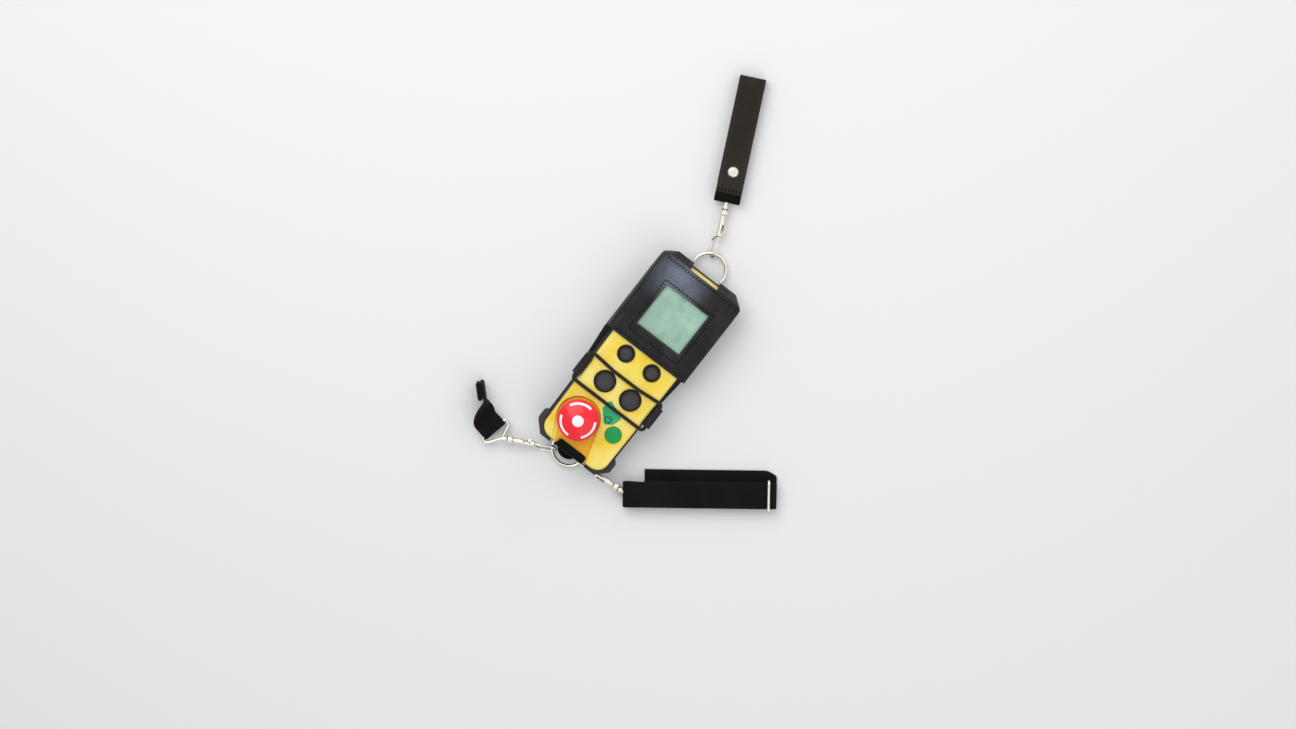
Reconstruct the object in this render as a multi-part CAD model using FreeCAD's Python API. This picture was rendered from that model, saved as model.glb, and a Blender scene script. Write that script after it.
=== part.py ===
import FreeCAD, Part
import math
import os

# Hand-held radio transmitter in a leather holster, with the three straps of its carrying harness.
# Millimetres. +Z comes out of the face, +Y points to the top ring, and the back rests on Z = 0.

V = FreeCAD.Vector
X_AXIS = V(1, 0, 0)
Z_AXIS = V(0, 0, 1)
ORIGIN = V(0, 0, 0)
FULL_TURN = 360.0
QUARTER_TURN = 90.0
HEX_SIDES = 6
SQUARE = ((-1, -1), (1, -1), (1, 1), (-1, 1))
tiny = 1e-6

# Clearances
gap = 0.3
fit = 0.1

# Leather and webbing
spine_thickness = 2.2
spine_width = 32.0
panel_thickness = 2.4
webbing_width = 25.0
webbing_thickness = 2.0

# Transmitter case: half widths and ends of its outline at the back, at the parting rim and at the face
case_wall = 2.5
rear_depth = 15.8
gasket_thickness = 0.8
front_depth = 16.0
back_half_top = 38.0
back_half_bottom = 34.5
back_top = 92.0
back_bottom = -92.0
parting_half_top = 41.9
parting_half_bottom = 39.6
parting_top = 107.6
parting_bottom = -107.5
rim_step = 1.7
face_half_top = 39.3
face_half_bottom = 36.2
face_top = 102.2
face_bottom = -105.0
corner_top = 13.0
corner_bottom = 12.0
face_edge = 2.5
back_edge = 1.5

# Levels of the stack, from the floor up
panel_low = spine_thickness
panel_high = panel_low + panel_thickness
case_low = panel_high + gap
parting = case_low + rear_depth
front_low = parting + gasket_thickness
face = front_low + front_depth
ceiling = face - case_wall

# Push buttons
small_x = 15.4
small_y = 3.2
small_radius = 6.8
small_rim = 1.7
small_height = 4.2
small_crown = 1.6
big_x = 15.2
big_y = -30.0
big_radius = 9.2
big_rim = 1.45
big_height = 3.6
big_crown = 0.5
button_travel = 3.0
collar_height = 1.2
collar_sleeve = 1.2
collar_drop = 1.5
flange_reach = 0.8
flange_thickness = 1.5
dome_wall = 0.8
dome_top_radius = 3.2
dome_pressed = 3.8

# Circuit board, set below the buttons by their travel and their pressed domes
board_thickness = 1.6
board_margin = 3.0
button_low = ceiling - collar_drop - gap - flange_thickness
dome_high = button_low - gap
board_high = dome_high - button_travel - dome_pressed
board_low = board_high - board_thickness
boss_radius = 3.0
boss_x = 30.0
boss_rows = (90.0, 20.0, -52.0)
screw_radius = 1.2
screw_head_radius = 2.4
screw_head_height = 1.6
screw_grip = 5.0

# Battery bay
battery_width = 44.0
battery_length = 62.0
battery_height = 9.0
battery_y = 48.0
cover_lip = 3.0
cover_thickness = 1.3

# Antenna strip at the top end of the board
antenna_width = 46.0
antenna_length = 5.0
antenna_height = 3.5

# Display
display_y = 55.9
window_width = 49.0
window_height = 45.0
lens_overlap = 3.5
lens_thickness = 1.5
display_ledge = 2.0

# Start button and its legend
start_x = 22.8
start_y = -66.5
start_radius = 8.0
start_travel = 2.0
start_proud = 0.2
start_height = start_travel + start_proud
legend_depth = 0.4
legend_corner = 2.6
start_low = ceiling - gap - flange_thickness
legend_points = ((0.2, -40.6), (-1.4, -52.0), (9.6, -64.0), (17.0, -58.6), (19.8, -49.0))

# Emergency stop
stop_x = -13.4
stop_y = -74.0
stop_radius = 20.0
stop_crown = 6.0
stop_rim = 5.0
stop_edge = 2.2
stop_hub_radius = 11.0
stop_hub_height = 2.5
stop_travel = 5.0
stop_lift = 0.6
plunger_radius = 7.5
plunger_stub_radius = 4.2
plunger_stub = 4.0
plunger_flange = 1.3
plunger_flange_height = 2.0
bush_wall = 3.0
bush_flange_radius = 15.0
bush_flange_height = 2.5
bush_length = 6.5
nut_width = 28.0
nut_height = 3.0
contact_width = 22.0
contact_slot = 5.5
spring_wire = 0.6
spring_turns = 4
recess_depth = 2.0
recess_radius = 21.6
recess_foot_left = -19.0
recess_foot_right = 20.0
mark_depth = 0.8
mark_dot_radius = 5.5
mark_arc_inner = 15.4
mark_arc_outer = 17.6
mark_arc_angle = 75.0
mark_arc_starts = (79.0, 198.0, 317.0)

# Corner bumpers
bumper_low = 16.5
bumper_high = 29.0
bumper_reach = 43.2
bumper_start = -86.5
bumper_shoulder = -98.5
bumper_foot_x = 32.5
bumper_foot_y = -109.6

# Holster pocket
pocket_low = 14.0
pocket_inner_half = 43.6
pocket_corner = 6.0
pocket_mouth_half = 16.0
pocket_mouth_edge = 3.0
pocket_shoulder_x = 15.5
pocket_shoulder_y = 11.0

# Holster back panel
panel_top = 93.3
panel_shoulder = 84.0
panel_neck_half = 36.0
panel_waist_half = 34.5
panel_bottom = -88.0

# Bottom tongue
tongue_overlap = 3.0

# Side wings and the elastic loop that runs in their hems
wing_x = 42.2
wing_low = -41.0
wing_high = -19.0
cord_radius = 1.75
cord_low = -46.2
cord_high_side = -14.6
cord_high_middle = -17.1
cord_bend_x = 15.0
cord_bend_radius = 60.0
cord_corner = 3.6
hem_wall = 2.0

# Rings
ring_wire = 1.5
ring_inner_width = 30.0
top_ring_leg = 10.5
bottom_ring_leg = 4.0
ring_corner = 3.0
top_bar_y = 101.6
bottom_bar_y = -103.5
loop_width = 26.0
loop_wall = 2.2
loop_tail = 8.0
tab_radius = 11.0
bar_height = 5.3

# Swivel bolt snap
jaw_wire = 1.2
jaw_radius = 4.6
jaw_seat = 1.3
jaw_roll = 56.0
jaw_tip = 5.0
jaw_back = 13.0
barrel_start = 17.5
barrel_length = 18.0
barrel_radius = 3.0
barrel_edge = 0.75
bolt_gap = 0.6
bolt_travel = 5.5
bolt_tail = 8.5
knob_radius = 1.0
knob_reach = 4.6
knob_head_radius = 1.7
knob_head_height = 1.4
knob_seat = 5.0
neck_radius = 2.4
neck_length = 2.4
housing_radius = 4.2
housing_length = 7.0
swivel_head_radius = 2.6
swivel_head_height = 1.8
swivel_stem_radius = 1.8
swivel_wall = 1.8
bead_radius = 3.2
bead_length = 1.8
bead_offset = 1.0
crossbar_radius = 1.8
crossbar_clear = 2.5
crossbar_length = webbing_width - 2 * crossbar_clear
crossbar_offset = 9.8
eye_wire = 1.4
eye_depth = 12.0
eye_shoulder = 5.6

# Where the three hooks hold their rings, which way they point, and how their straps lie
top_contact_angle = 115.0
top_hook_angle = 115.5
left_contact_angle = 218.0
left_hook_angle = 208.0
right_contact_angle = -7.5
right_hook_angle = 4.5
shoulder_angle = 115.8
left_strap_angle = 168.0
right_strap_angle = 37.0
shoulder_length = 117.0
right_length = 144.0
strap_tail = 34.0
strap_fold = 14.0
fold_layers = 5
short_layers = 2
fold_step = 6.0
back_layers = 3
back_shift = 11.0

# Left strap: it turns on edge past the eye and ends in a short standing fold
left_tail = 11.0
left_twist_x = -93.0
left_twist_y = -118.5
left_fold_angle = 135.0
left_fold_length = 18.0
left_layers = 3
left_pitch = 2.6
twist_steps = 7
twist_pull = 0.33

# Rivet and slider
rivet_radius = 5.2
rivet_crown = 1.4
rivet_seat = 26.0
rivet_shank = 1.8
slider_wire = 1.3
slider_corner = 2.2
slider_margin = 7.0
slider_side = 1.0


# Geometry helpers

def path_edges(points, radii, closed):
    # Straight runs joined by tangent arcs of the given radii
    count = len(points)
    knots = []
    for i, point in enumerate(points):
        if radii[i] <= 0:
            knots.append((point, None, point))
            continue
        back = (points[i - 1] - point).normalize()
        ahead = (points[(i + 1) % count] - point).normalize()
        half = back.getAngle(ahead) / 2
        reach = radii[i] / math.tan(half)
        middle = point + (back + ahead).normalize() * (radii[i] / math.sin(half) - radii[i])
        knots.append((point + back * reach, middle, point + ahead * reach))
    edges = []
    for i, (start, middle, end) in enumerate(knots):
        if middle is not None:
            edges.append(Part.Arc(start, middle, end).toShape())
        if closed or i < count - 1:
            following = knots[(i + 1) % count][0]
            if end.distanceToPoint(following) > tiny:
                edges.append(Part.LineSegment(end, following).toShape())
    return edges


def outline_wire(corners, radii, z):
    return Part.Wire(path_edges([V(x, y, z) for x, y in corners], radii, True))


def plate(corners, radii, low, high):
    return Part.Face(outline_wire(corners, radii, low)).extrude(V(0, 0, high - low))


def rectangle(width, length, x=0.0, y=0.0):
    return [(x + a * width / 2, y + b * length / 2) for a, b in SQUARE]


def slab(width, length, low, high, x=0.0, y=0.0, corner=0.0):
    return plate(rectangle(width, length, x, y), [corner] * 4, low, high)


def cylinder(radius, low, high, x=0.0, y=0.0):
    return Part.makeCylinder(radius, high - low, V(x, y, low))


def turned(profile, radii, x, y):
    # Solid of revolution about a vertical line from a profile of (radius, height) corners
    points = [V(r, 0, z) for r, z in profile]
    solid = Part.Face(Part.Wire(path_edges(points, radii, True))).revolve(ORIGIN, Z_AXIS, FULL_TURN)
    return solid.translated(V(x, y, 0))


def turned_along(profile):
    # Solid of revolution about the X axis from a profile of (length, radius) corners
    points = [V(u, r, 0) for u, r in profile]
    return Part.Face(Part.makePolygon(points + points[:1])).revolve(ORIGIN, X_AXIS, FULL_TURN)


def rod(radius, start, end):
    return Part.makeCylinder(radius, (end - start).Length, start, end - start)


def swept(edges, radius):
    # Round wire along a path
    start = edges[0].valueAt(edges[0].FirstParameter)
    direction = edges[0].tangentAt(edges[0].FirstParameter)
    section = Part.Wire([Part.makeCircle(radius, start, direction)])
    return Part.Wire(edges).makePipeShell([section], True, False)


def tube(points, radii, radius, closed=False):
    return swept(path_edges(points, radii, closed), radius)


def across_x(profile, half_width):
    # Prism along X from a profile of (y, z) corners
    points = [V(-half_width, y, z) for y, z in profile]
    return Part.Face(Part.makePolygon(points + points[:1])).extrude(V(2 * half_width, 0, 0))


def direction_at(angle):
    return V(math.cos(math.radians(angle)), math.sin(math.radians(angle)), 0)


def offset_line(points, distance):
    # Open line of (y, z) points moved sideways to its left, with mitred corners
    moved = []
    for i, (y, z) in enumerate(points):
        normals = []
        for a, b in ((i - 1, i), (i, i + 1)):
            if 0 <= a and b < len(points):
                run_y = points[b][0] - points[a][0]
                run_z = points[b][1] - points[a][1]
                length = math.hypot(run_y, run_z)
                normals.append((-run_z / length, run_y / length))
        sum_y = sum(n[0] for n in normals)
        sum_z = sum(n[1] for n in normals)
        scale = distance * len(normals) / (sum_y * sum_y + sum_z * sum_z)
        moved.append((y + sum_y * scale, z + sum_z * scale))
    return moved


def fused(shapes):
    body = shapes[0]
    for shape in shapes[1:]:
        body = body.fuse(shape)
    return body.removeSplitter()


def edges_at(shape, z):
    return [e for e in shape.Edges if all(abs(v.Z - z) < tiny for v in e.Vertexes)]


# Transmitter case

BACK = (back_half_top, back_half_bottom, back_top, back_bottom)
RIM = (parting_half_top, parting_half_bottom, parting_top, parting_bottom)
FRONT = (parting_half_top - rim_step, parting_half_bottom - rim_step, parting_top - rim_step,
         parting_bottom + rim_step)
FACE = (face_half_top, face_half_bottom, face_top, face_bottom)


def case_section(z):
    # Half widths and ends of the case at a height: the rear shell widens to its rim, and the front is inside
    low, high, lower, upper = front_low, face, FRONT, FACE
    if z <= parting:
        low, high, lower, upper = case_low, parting, BACK, RIM
    share = (z - low) / (high - low)
    return [a + (b - a) * share for a, b in zip(lower, upper)]


def case_wire(z, inset):
    half_top, half_bottom, top, bottom = case_section(z)
    half_top -= inset
    half_bottom -= inset
    top -= inset
    bottom += inset
    corners = [(half_bottom, bottom), (half_top, top), (-half_top, top), (-half_bottom, bottom)]
    low_corner = max(corner_bottom - inset, case_wall)
    high_corner = max(corner_top - inset, case_wall)
    return outline_wire(corners, [low_corner, high_corner, high_corner, low_corner], z)


def case_block(low, high, inset):
    return Part.makeLoft([case_wire(low, inset), case_wire(high, inset)], True, True)


def boss_places():
    return [(side * boss_x, y) for y in boss_rows for side in (1, -1)]


def front_envelope():
    # Drafted walls under a straight cap whose upper edge is rounded
    cap_start = face - face_edge - fit
    walls = case_block(front_low, cap_start, 0)
    cap = Part.Face(case_wire(cap_start, 0)).extrude(V(0, 0, face - cap_start))
    return fused([walls, cap.makeFillet(face_edge, edges_at(cap, face))])


def rear_envelope():
    block = case_block(case_low, parting, 0)
    return block.makeFillet(back_edge, edges_at(block, case_low))


def tangent_touch(point, radius, side):
    # Where the line from an outer point touches a circle round the stop button, on one side of it
    run_x = point[0] - stop_x
    run_y = point[1] - stop_y
    lean = math.degrees(math.atan2(run_y, run_x))
    spread = math.degrees(math.acos(radius / math.hypot(run_x, run_y)))
    return V(stop_x, stop_y, 0) + direction_at(lean + side * spread) * radius


def recess_outline(grow):
    # An arc round the stop button whose two tangents run out through the bottom end of the face
    radius = recess_radius + grow
    foot = parting_bottom - case_wall
    left = (recess_foot_left - grow, foot)
    right = (recess_foot_right + grow, foot)
    touch_left = tangent_touch(left, radius, -1)
    touch_right = tangent_touch(right, radius, 1)
    top = V(stop_x, stop_y + radius, 0)
    edges = [
        Part.Arc(touch_right, top, touch_left).toShape(),
        Part.LineSegment(touch_left, V(left[0], left[1], 0)).toShape(),
        Part.LineSegment(V(left[0], left[1], 0), V(right[0], right[1], 0)).toShape(),
        Part.LineSegment(V(right[0], right[1], 0), touch_right).toShape(),
    ]
    return Part.Face(Part.Wire(edges))


def recess_block(grow, low, high):
    return recess_outline(grow).translated(V(0, 0, low)).extrude(V(0, 0, high - low))


recess_floor = face - recess_depth
pad_low = recess_floor - case_wall
display_width = window_width + 2 * lens_overlap
display_height = window_height + 2 * lens_overlap


def button_list():
    return [
        ("small_button_left", -small_x, small_y, small_radius, small_rim, small_height, small_crown),
        ("small_button_right", small_x, small_y, small_radius, small_rim, small_height, small_crown),
        ("big_button_left", -big_x, big_y, big_radius, big_rim, big_height, big_crown),
        ("big_button_right", big_x, big_y, big_radius, big_rim, big_height, big_crown),
    ]


def legend_face():
    return Part.Face(outline_wire(legend_points, [legend_corner] * len(legend_points), 0))


def front_case():
    body = front_envelope()
    hollow = case_block(front_low, ceiling, case_wall)
    pad = recess_block(case_wall, pad_low, ceiling + fit)
    body = body.cut(hollow.cut(pad))
    for x, y in boss_places():
        body = body.fuse(cylinder(boss_radius, board_high, ceiling + fit, x, y))
    body = body.cut(recess_block(0, recess_floor, face + case_wall))
    cuts = [cylinder(stop_bush_radius + fit, pad_low - case_wall, face, stop_x, stop_y)]
    cuts.append(cylinder(start_radius + gap, ceiling - fit, face + fit, start_x, start_y))
    cuts.append(legend_face().extrude(V(0, 0, legend_depth)).translated(V(0, 0, face - legend_depth)))
    cuts.append(slab(display_width, display_height, face - lens_thickness, face + fit, 0, display_y))
    opening_width = display_width - 2 * display_ledge
    opening_height = display_height - 2 * display_ledge
    cuts.append(slab(opening_width, opening_height, ceiling - fit, face, 0, display_y))
    for name, x, y, radius, rim, height, crown in button_list():
        cuts.append(cylinder(radius + gap + collar_sleeve + fit, ceiling - fit, face + fit, x, y))
    for x, y in boss_places():
        cuts.append(cylinder(screw_radius + fit, board_high - fit, board_high + screw_grip + gap, x, y))
    for cut in cuts:
        body = body.cut(cut)
    return body


def rear_case():
    body = rear_envelope()
    floor = case_low + case_wall
    body = body.cut(case_block(floor, parting, case_wall))
    for x, y in boss_places():
        body = body.fuse(cylinder(boss_radius, floor - fit, board_low, x, y))
    well = slab(battery_width, battery_length, case_low - fit, floor + fit, 0, battery_y)
    seat = slab(cover_width, cover_length, case_low - fit, case_low + cover_thickness, 0, battery_y)
    body = body.cut(well).cut(seat)
    head_high = case_low + screw_head_height
    for x, y in boss_places():
        body = body.cut(cylinder(screw_radius + fit, case_low - fit, board_low + fit, x, y))
        body = body.cut(cylinder(screw_head_radius + fit, case_low - fit, head_high, x, y))
    return body


def rim_block(inset):
    return Part.Face(case_wire(parting, inset)).extrude(V(0, 0, gasket_thickness))


def case_gasket():
    return rim_block(0).cut(rim_block(case_wall + rim_step))


def case_screws():
    screws = []
    for x, y in boss_places():
        head = cylinder(screw_head_radius, case_low, case_low + screw_head_height, x, y)
        shank = cylinder(screw_radius, case_low, board_high + screw_grip, x, y)
        screws.append(head.fuse(shank).removeSplitter())
    return Part.makeCompound(screws)


def corner_bumpers():
    corners = [
        (bumper_reach - corner_bottom, bumper_start),
        (bumper_reach - case_wall, bumper_start),
        (bumper_reach, bumper_start - case_wall),
        (bumper_reach, bumper_shoulder),
        (bumper_foot_x, bumper_foot_y),
        (bumper_foot_x - corner_bottom, bumper_foot_y),
    ]
    radii = [0, case_wall / 2, case_wall / 2, case_wall, case_wall, 0]
    right = plate(corners, radii, bumper_low, bumper_high)
    for envelope in (case_block(case_low, parting, 0), rim_block(0), case_block(front_low, face, 0)):
        right = right.cut(envelope)
    right = max(right.Solids, key=lambda solid: solid.Volume)
    return Part.makeCompound([right, right.mirror(ORIGIN, X_AXIS)])


# What is inside the case

def circuit_board():
    board = case_block(front_low, face, case_wall + board_margin)
    slice_box = slab(2 * parting_half_top, 2 * parting_top, board_low, board_high)
    board = board.common(slice_box)
    clear_radius = plunger_flange_radius + bush_wall
    board = board.cut(cylinder(clear_radius, board_low - fit, board_high + fit, stop_x, stop_y))
    for x, y in boss_places():
        board = board.cut(cylinder(screw_radius + fit, board_low - fit, board_high + fit, x, y))
    return board


def battery_pack():
    floor = case_low + case_wall
    radius = battery_height / 2
    reach = battery_width / 2 - radius
    wrap = slab(2 * reach, cover_length, floor, floor + battery_height, 0, battery_y)
    cells = []
    for x in (-reach, reach):
        start = V(x, battery_y - cover_length / 2, floor + radius)
        cells.append(rod(radius, start, start + V(0, cover_length, 0)))
    return fused([wrap] + cells)


def battery_cover():
    width = cover_width - 2 * fit
    length = cover_length - 2 * fit
    return slab(width, length, case_low, case_low + cover_thickness, 0, battery_y)


def antenna_strip():
    y = case_section(board_high)[2] - case_wall - board_margin - antenna_length
    return slab(antenna_width, antenna_length, board_high, board_high + antenna_height, 0, y)


def display_module():
    width = display_width - 2 * gap
    height = display_height - 2 * gap
    return slab(width, height, board_high, ceiling, 0, display_y)


def display_lens():
    width = display_width - 2 * fit
    height = display_height - 2 * fit
    return slab(width, height, face - lens_thickness, face, 0, display_y)


# Push buttons

def button_cap(x, y, radius, height, crown):
    top = face + height
    flange_top = button_low + flange_thickness
    flange_radius = radius + gap + flange_reach
    profile = [
        (0, button_low),
        (flange_radius, button_low),
        (flange_radius, flange_top),
        (radius, flange_top),
        (radius, top - crown),
        (radius - crown, top),
        (0, top),
    ]
    return turned(profile, [0, 0, 0, 0, crown / 2, crown / 2, 0], x, y)


def button_collar(x, y, radius, rim):
    bore = radius + gap
    sleeve = bore + collar_sleeve
    low = ceiling - collar_drop
    high = face + collar_height
    profile = [
        (bore, low),
        (sleeve, low),
        (sleeve, face),
        (bore + rim, face),
        (bore + rim, high),
        (bore, high),
    ]
    return turned(profile, [0, 0, 0, 0, collar_height / 2, 0], x, y)


def return_dome(x, y, radius, height_top):
    # Hollow rubber cone between the board and the underside of a button
    profile = [
        (radius - dome_wall, board_high),
        (radius, board_high),
        (dome_top_radius, height_top),
        (0, height_top),
        (0, height_top - dome_wall),
        (dome_top_radius - dome_wall, height_top - dome_wall),
    ]
    return turned(profile, [0] * len(profile), x, y)


def start_button():
    top = face + start_height
    flange_top = start_low + flange_thickness
    flange_radius = start_radius + gap + flange_reach
    edge = start_height / 2
    profile = [
        (0, start_low),
        (flange_radius, start_low),
        (flange_radius, flange_top),
        (start_radius, flange_top),
        (start_radius, top),
        (0, top),
    ]
    return turned(profile, [0, 0, 0, 0, edge, 0], start_x, start_y)


def start_legend():
    inlay = legend_face().makeOffset2D(-fit)
    return inlay.extrude(V(0, 0, legend_depth)).translated(V(0, 0, face - legend_depth))


# Emergency stop

stop_bush_radius = plunger_radius + gap + bush_wall
plunger_flange_radius = plunger_radius + plunger_flange
bush_high = recess_floor + bush_flange_height
bush_low = bush_high - bush_flange_height - bush_length
head_low = bush_high + stop_travel + stop_lift
cap_low = head_low + stop_hub_height
head_high = cap_low + stop_rim + stop_crown
plunger_flange_high = bush_low - gap
plunger_flange_low = plunger_flange_high - plunger_flange_height
contact_high = plunger_flange_low - plunger_stub - stop_travel - gap
cover_width = battery_width + 2 * cover_lip
cover_length = battery_length + 2 * cover_lip


def stop_head_full():
    socket_radius = plunger_radius + gap
    socket_top = cap_low + stop_rim
    crown_radius = (stop_radius ** 2 + stop_crown ** 2) / (2 * stop_crown)
    lean = math.asin(stop_radius / crown_radius) / 2
    middle = V(crown_radius * math.sin(lean), 0, head_high - crown_radius * (1 - math.cos(lean)))
    rim = V(stop_radius, 0, head_high - stop_crown)
    edges = [Part.Arc(rim, middle, V(0, 0, head_high)).toShape()]
    corners = [
        V(0, 0, head_high),
        V(0, 0, socket_top),
        V(socket_radius, 0, socket_top),
        V(socket_radius, 0, head_low),
        V(stop_hub_radius, 0, head_low),
        V(stop_hub_radius, 0, cap_low),
        V(stop_radius - stop_edge, 0, cap_low),
        V(stop_radius, 0, cap_low + stop_edge),
        rim,
    ]
    for start, end in zip(corners, corners[1:]):
        edges.append(Part.LineSegment(start, end).toShape())
    solid = Part.Face(Part.Wire(edges)).revolve(ORIGIN, Z_AXIS, FULL_TURN)
    rim_edges = [e for e in solid.Edges if abs(e.Length - 2 * math.pi * stop_radius) < tiny and
                 abs(e.Vertexes[0].Z - rim.z) < tiny]
    solid = solid.makeFillet(stop_edge, rim_edges)
    return solid.translated(V(stop_x, stop_y, 0))


def stop_mark_prisms():
    prisms = [cylinder(mark_dot_radius, cap_low, head_high + fit, stop_x, stop_y)]
    for start in mark_arc_starts:
        ring = cylinder(mark_arc_outer, cap_low, head_high + fit).cut(
            cylinder(mark_arc_inner, cap_low - fit, head_high + 2 * fit))
        sector_points = [ORIGIN]
        for share in (0.0, 0.5, 1.0):
            sector_points.append(direction_at(start + mark_arc_angle * share) * (2 * stop_radius))
        sector = Part.Face(Part.makePolygon(sector_points + [ORIGIN])).extrude(V(0, 0, head_high + fit))
        prisms.append(ring.common(sector).translated(V(stop_x, stop_y, 0)))
    return prisms


def stop_markings():
    head = stop_head_full()
    lowered = head.translated(V(0, 0, -mark_depth))
    marks = []
    for prism in stop_mark_prisms():
        mark = prism.common(head).cut(lowered)
        marks.append(max(mark.Solids, key=lambda solid: solid.CenterOfMass.z))
    return Part.makeCompound(marks)


def stop_head():
    return stop_head_full().cut(stop_markings())


def stop_plunger():
    top = cap_low + stop_rim - gap
    profile = [
        (0, plunger_flange_low - plunger_stub),
        (plunger_stub_radius, plunger_flange_low - plunger_stub),
        (plunger_stub_radius, plunger_flange_low),
        (plunger_flange_radius, plunger_flange_low),
        (plunger_flange_radius, plunger_flange_high),
        (plunger_radius, plunger_flange_high),
        (plunger_radius, top),
        (0, top),
    ]
    return turned(profile, [0] * len(profile), stop_x, stop_y)


def stop_bush():
    bore = plunger_radius + gap
    profile = [
        (bore, bush_low),
        (stop_bush_radius, bush_low),
        (stop_bush_radius, recess_floor),
        (bush_flange_radius, recess_floor),
        (bush_flange_radius, bush_high),
        (bore, bush_high),
    ]
    return turned(profile, [0, 0, 0, 0, bush_flange_height / 2, 0], stop_x, stop_y)


def stop_nut():
    low = pad_low - nut_height
    side = FULL_TURN / HEX_SIDES
    corner_reach = nut_width / 2 / math.cos(math.radians(side / 2))
    points = [V(stop_x, stop_y, low) + direction_at(side * i) * corner_reach for i in range(HEX_SIDES)]
    hexagon = Part.Face(Part.makePolygon(points + points[:1])).extrude(V(0, 0, nut_height))
    return hexagon.cut(cylinder(stop_bush_radius + fit, low - fit, pad_low + fit, stop_x, stop_y))


def stop_contact_block():
    floor = case_low + case_wall
    base = slab(contact_width, contact_width, floor, contact_high, stop_x, stop_y, case_wall)
    slot = slab(contact_slot, contact_width + 2 * fit, contact_high - case_wall, contact_high + fit,
                stop_x - contact_width / 2, stop_y)
    return base.cut(slot)


def stop_spring():
    # Coil of tilted half turns that meet tangent to each other
    radius = plunger_stub_radius + gap + spring_wire
    low = contact_high + gap + spring_wire
    high = plunger_flange_low - gap - spring_wire
    rise = (high - low) / (2 * spring_turns)
    coil = []
    for i in range(2 * spring_turns):
        start = V(radius if i % 2 == 0 else -radius, 0, low + i * rise)
        middle = V(0, start.x, start.z + rise / 2)
        end = V(-start.x, 0, start.z + rise)
        coil.append(Part.Arc(start, middle, end).toShape())
    return swept(coil, spring_wire).translated(V(stop_x, stop_y, 0))


# Holster

pocket_outer_half = pocket_inner_half + panel_thickness
pocket_inner_high = face + gap
pocket_high = pocket_inner_high + panel_thickness
flap_offset = gap + panel_thickness
cord_level = face + gap + cord_radius
hem_radius = cord_radius + gap + hem_wall
wing_inner = wing_x - panel_thickness / 2
wing_outer = wing_x + panel_thickness / 2


def along_y(corners, radii, start, end):
    # Prism along Y from an outline of (x, z) corners
    points = [V(x, start, z) for x, z in corners]
    return Part.Face(Part.Wire(path_edges(points, radii, True))).extrude(V(0, end - start, 0))


def pocket_block(half, high, corner, start, end):
    corners = [(-half, panel_high), (half, panel_high), (half, high), (-half, high)]
    return along_y(corners, [0, 0, corner, corner], start, end)


def end_slope(offset):
    # Line of (y, z) points parallel to the sloping top end of the case
    top = face + (face - front_low)
    slope = (face_top - parting_top) / (face - front_low)
    return [(parting_top + offset, front_low), (parting_top + offset + slope * (top - front_low), top)]


def mirrored(right_side):
    return right_side + [(-x, y) for x, y in reversed(right_side)]


def pocket_outline(far):
    # Plan of the pocket, open below and with both shoulders cut off at its top end
    below = pocket_low - 2 * panel_thickness
    right = [
        (pocket_outer_half, below),
        (pocket_outer_half, far - pocket_shoulder_y),
        (pocket_outer_half - pocket_shoulder_x, far),
    ]
    return mirrored(right)


def holster_pocket():
    far = parting_top + 2 * flap_offset
    outline = Part.Face(outline_wire(pocket_outline(far), [0] * len(pocket_outline(far)), 0))
    inset = outline.makeOffset2D(-panel_thickness)
    inner_corner = pocket_corner - panel_thickness
    block = pocket_block(pocket_outer_half, pocket_high, pocket_corner, pocket_low, far)
    block = block.common(outline.extrude(V(0, 0, pocket_high)))
    hollow = pocket_block(pocket_inner_half, pocket_inner_high, inner_corner, pocket_low - fit, far + fit)
    shell = block.cut(hollow.common(inset.extrude(V(0, 0, pocket_high))))
    (low_y, low_z), (high_y, high_z) = end_slope(flap_offset)
    beyond = [(panel_top, 0), (far + fit, 0), (far + fit, high_z), (high_y, high_z), (low_y, low_z),
              (panel_top, panel_high)]
    shell = shell.cut(across_x(beyond, pocket_outer_half + fit))
    (in_low_y, in_low_z), (in_high_y, in_high_z) = end_slope(gap)
    flap_profile = [(in_low_y, in_low_z), (low_y, low_z), (high_y, high_z), (in_high_y, in_high_z)]
    flap = across_x(flap_profile, pocket_outer_half)
    shell = fused([shell, flap.common(block)])
    mouth_low = face_top + pocket_mouth_edge
    mouth = slab(2 * pocket_mouth_half, far - mouth_low, panel_high, high_z, 0, (far + mouth_low) / 2)
    window = slab(window_width, window_height, face, high_z, 0, display_y)
    return shell.cut(mouth).cut(window)


def holster_back():
    right = [
        (panel_waist_half, panel_bottom),
        (panel_waist_half, wing_low - fold_step),
        (wing_outer, wing_low),
        (wing_outer, wing_high),
        (pocket_outer_half, pocket_low - fold_step),
        (pocket_outer_half, panel_shoulder),
        (panel_neck_half, panel_top),
    ]
    radii = [0, fold_step, 0, 0, 0, fold_step, fold_step]
    return plate(mirrored(right), radii + radii[::-1], panel_low, panel_high)


def tangent_from(point, centre, radius, side):
    # Where the line from an outer (y, z) point touches a circle, on one side of it
    run_y = point[0] - centre[0]
    run_z = point[1] - centre[1]
    angle = math.atan2(run_z, run_y) + side * math.acos(radius / math.hypot(run_y, run_z))
    return (centre[0] + radius * math.cos(angle), centre[1] + radius * math.sin(angle))


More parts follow.
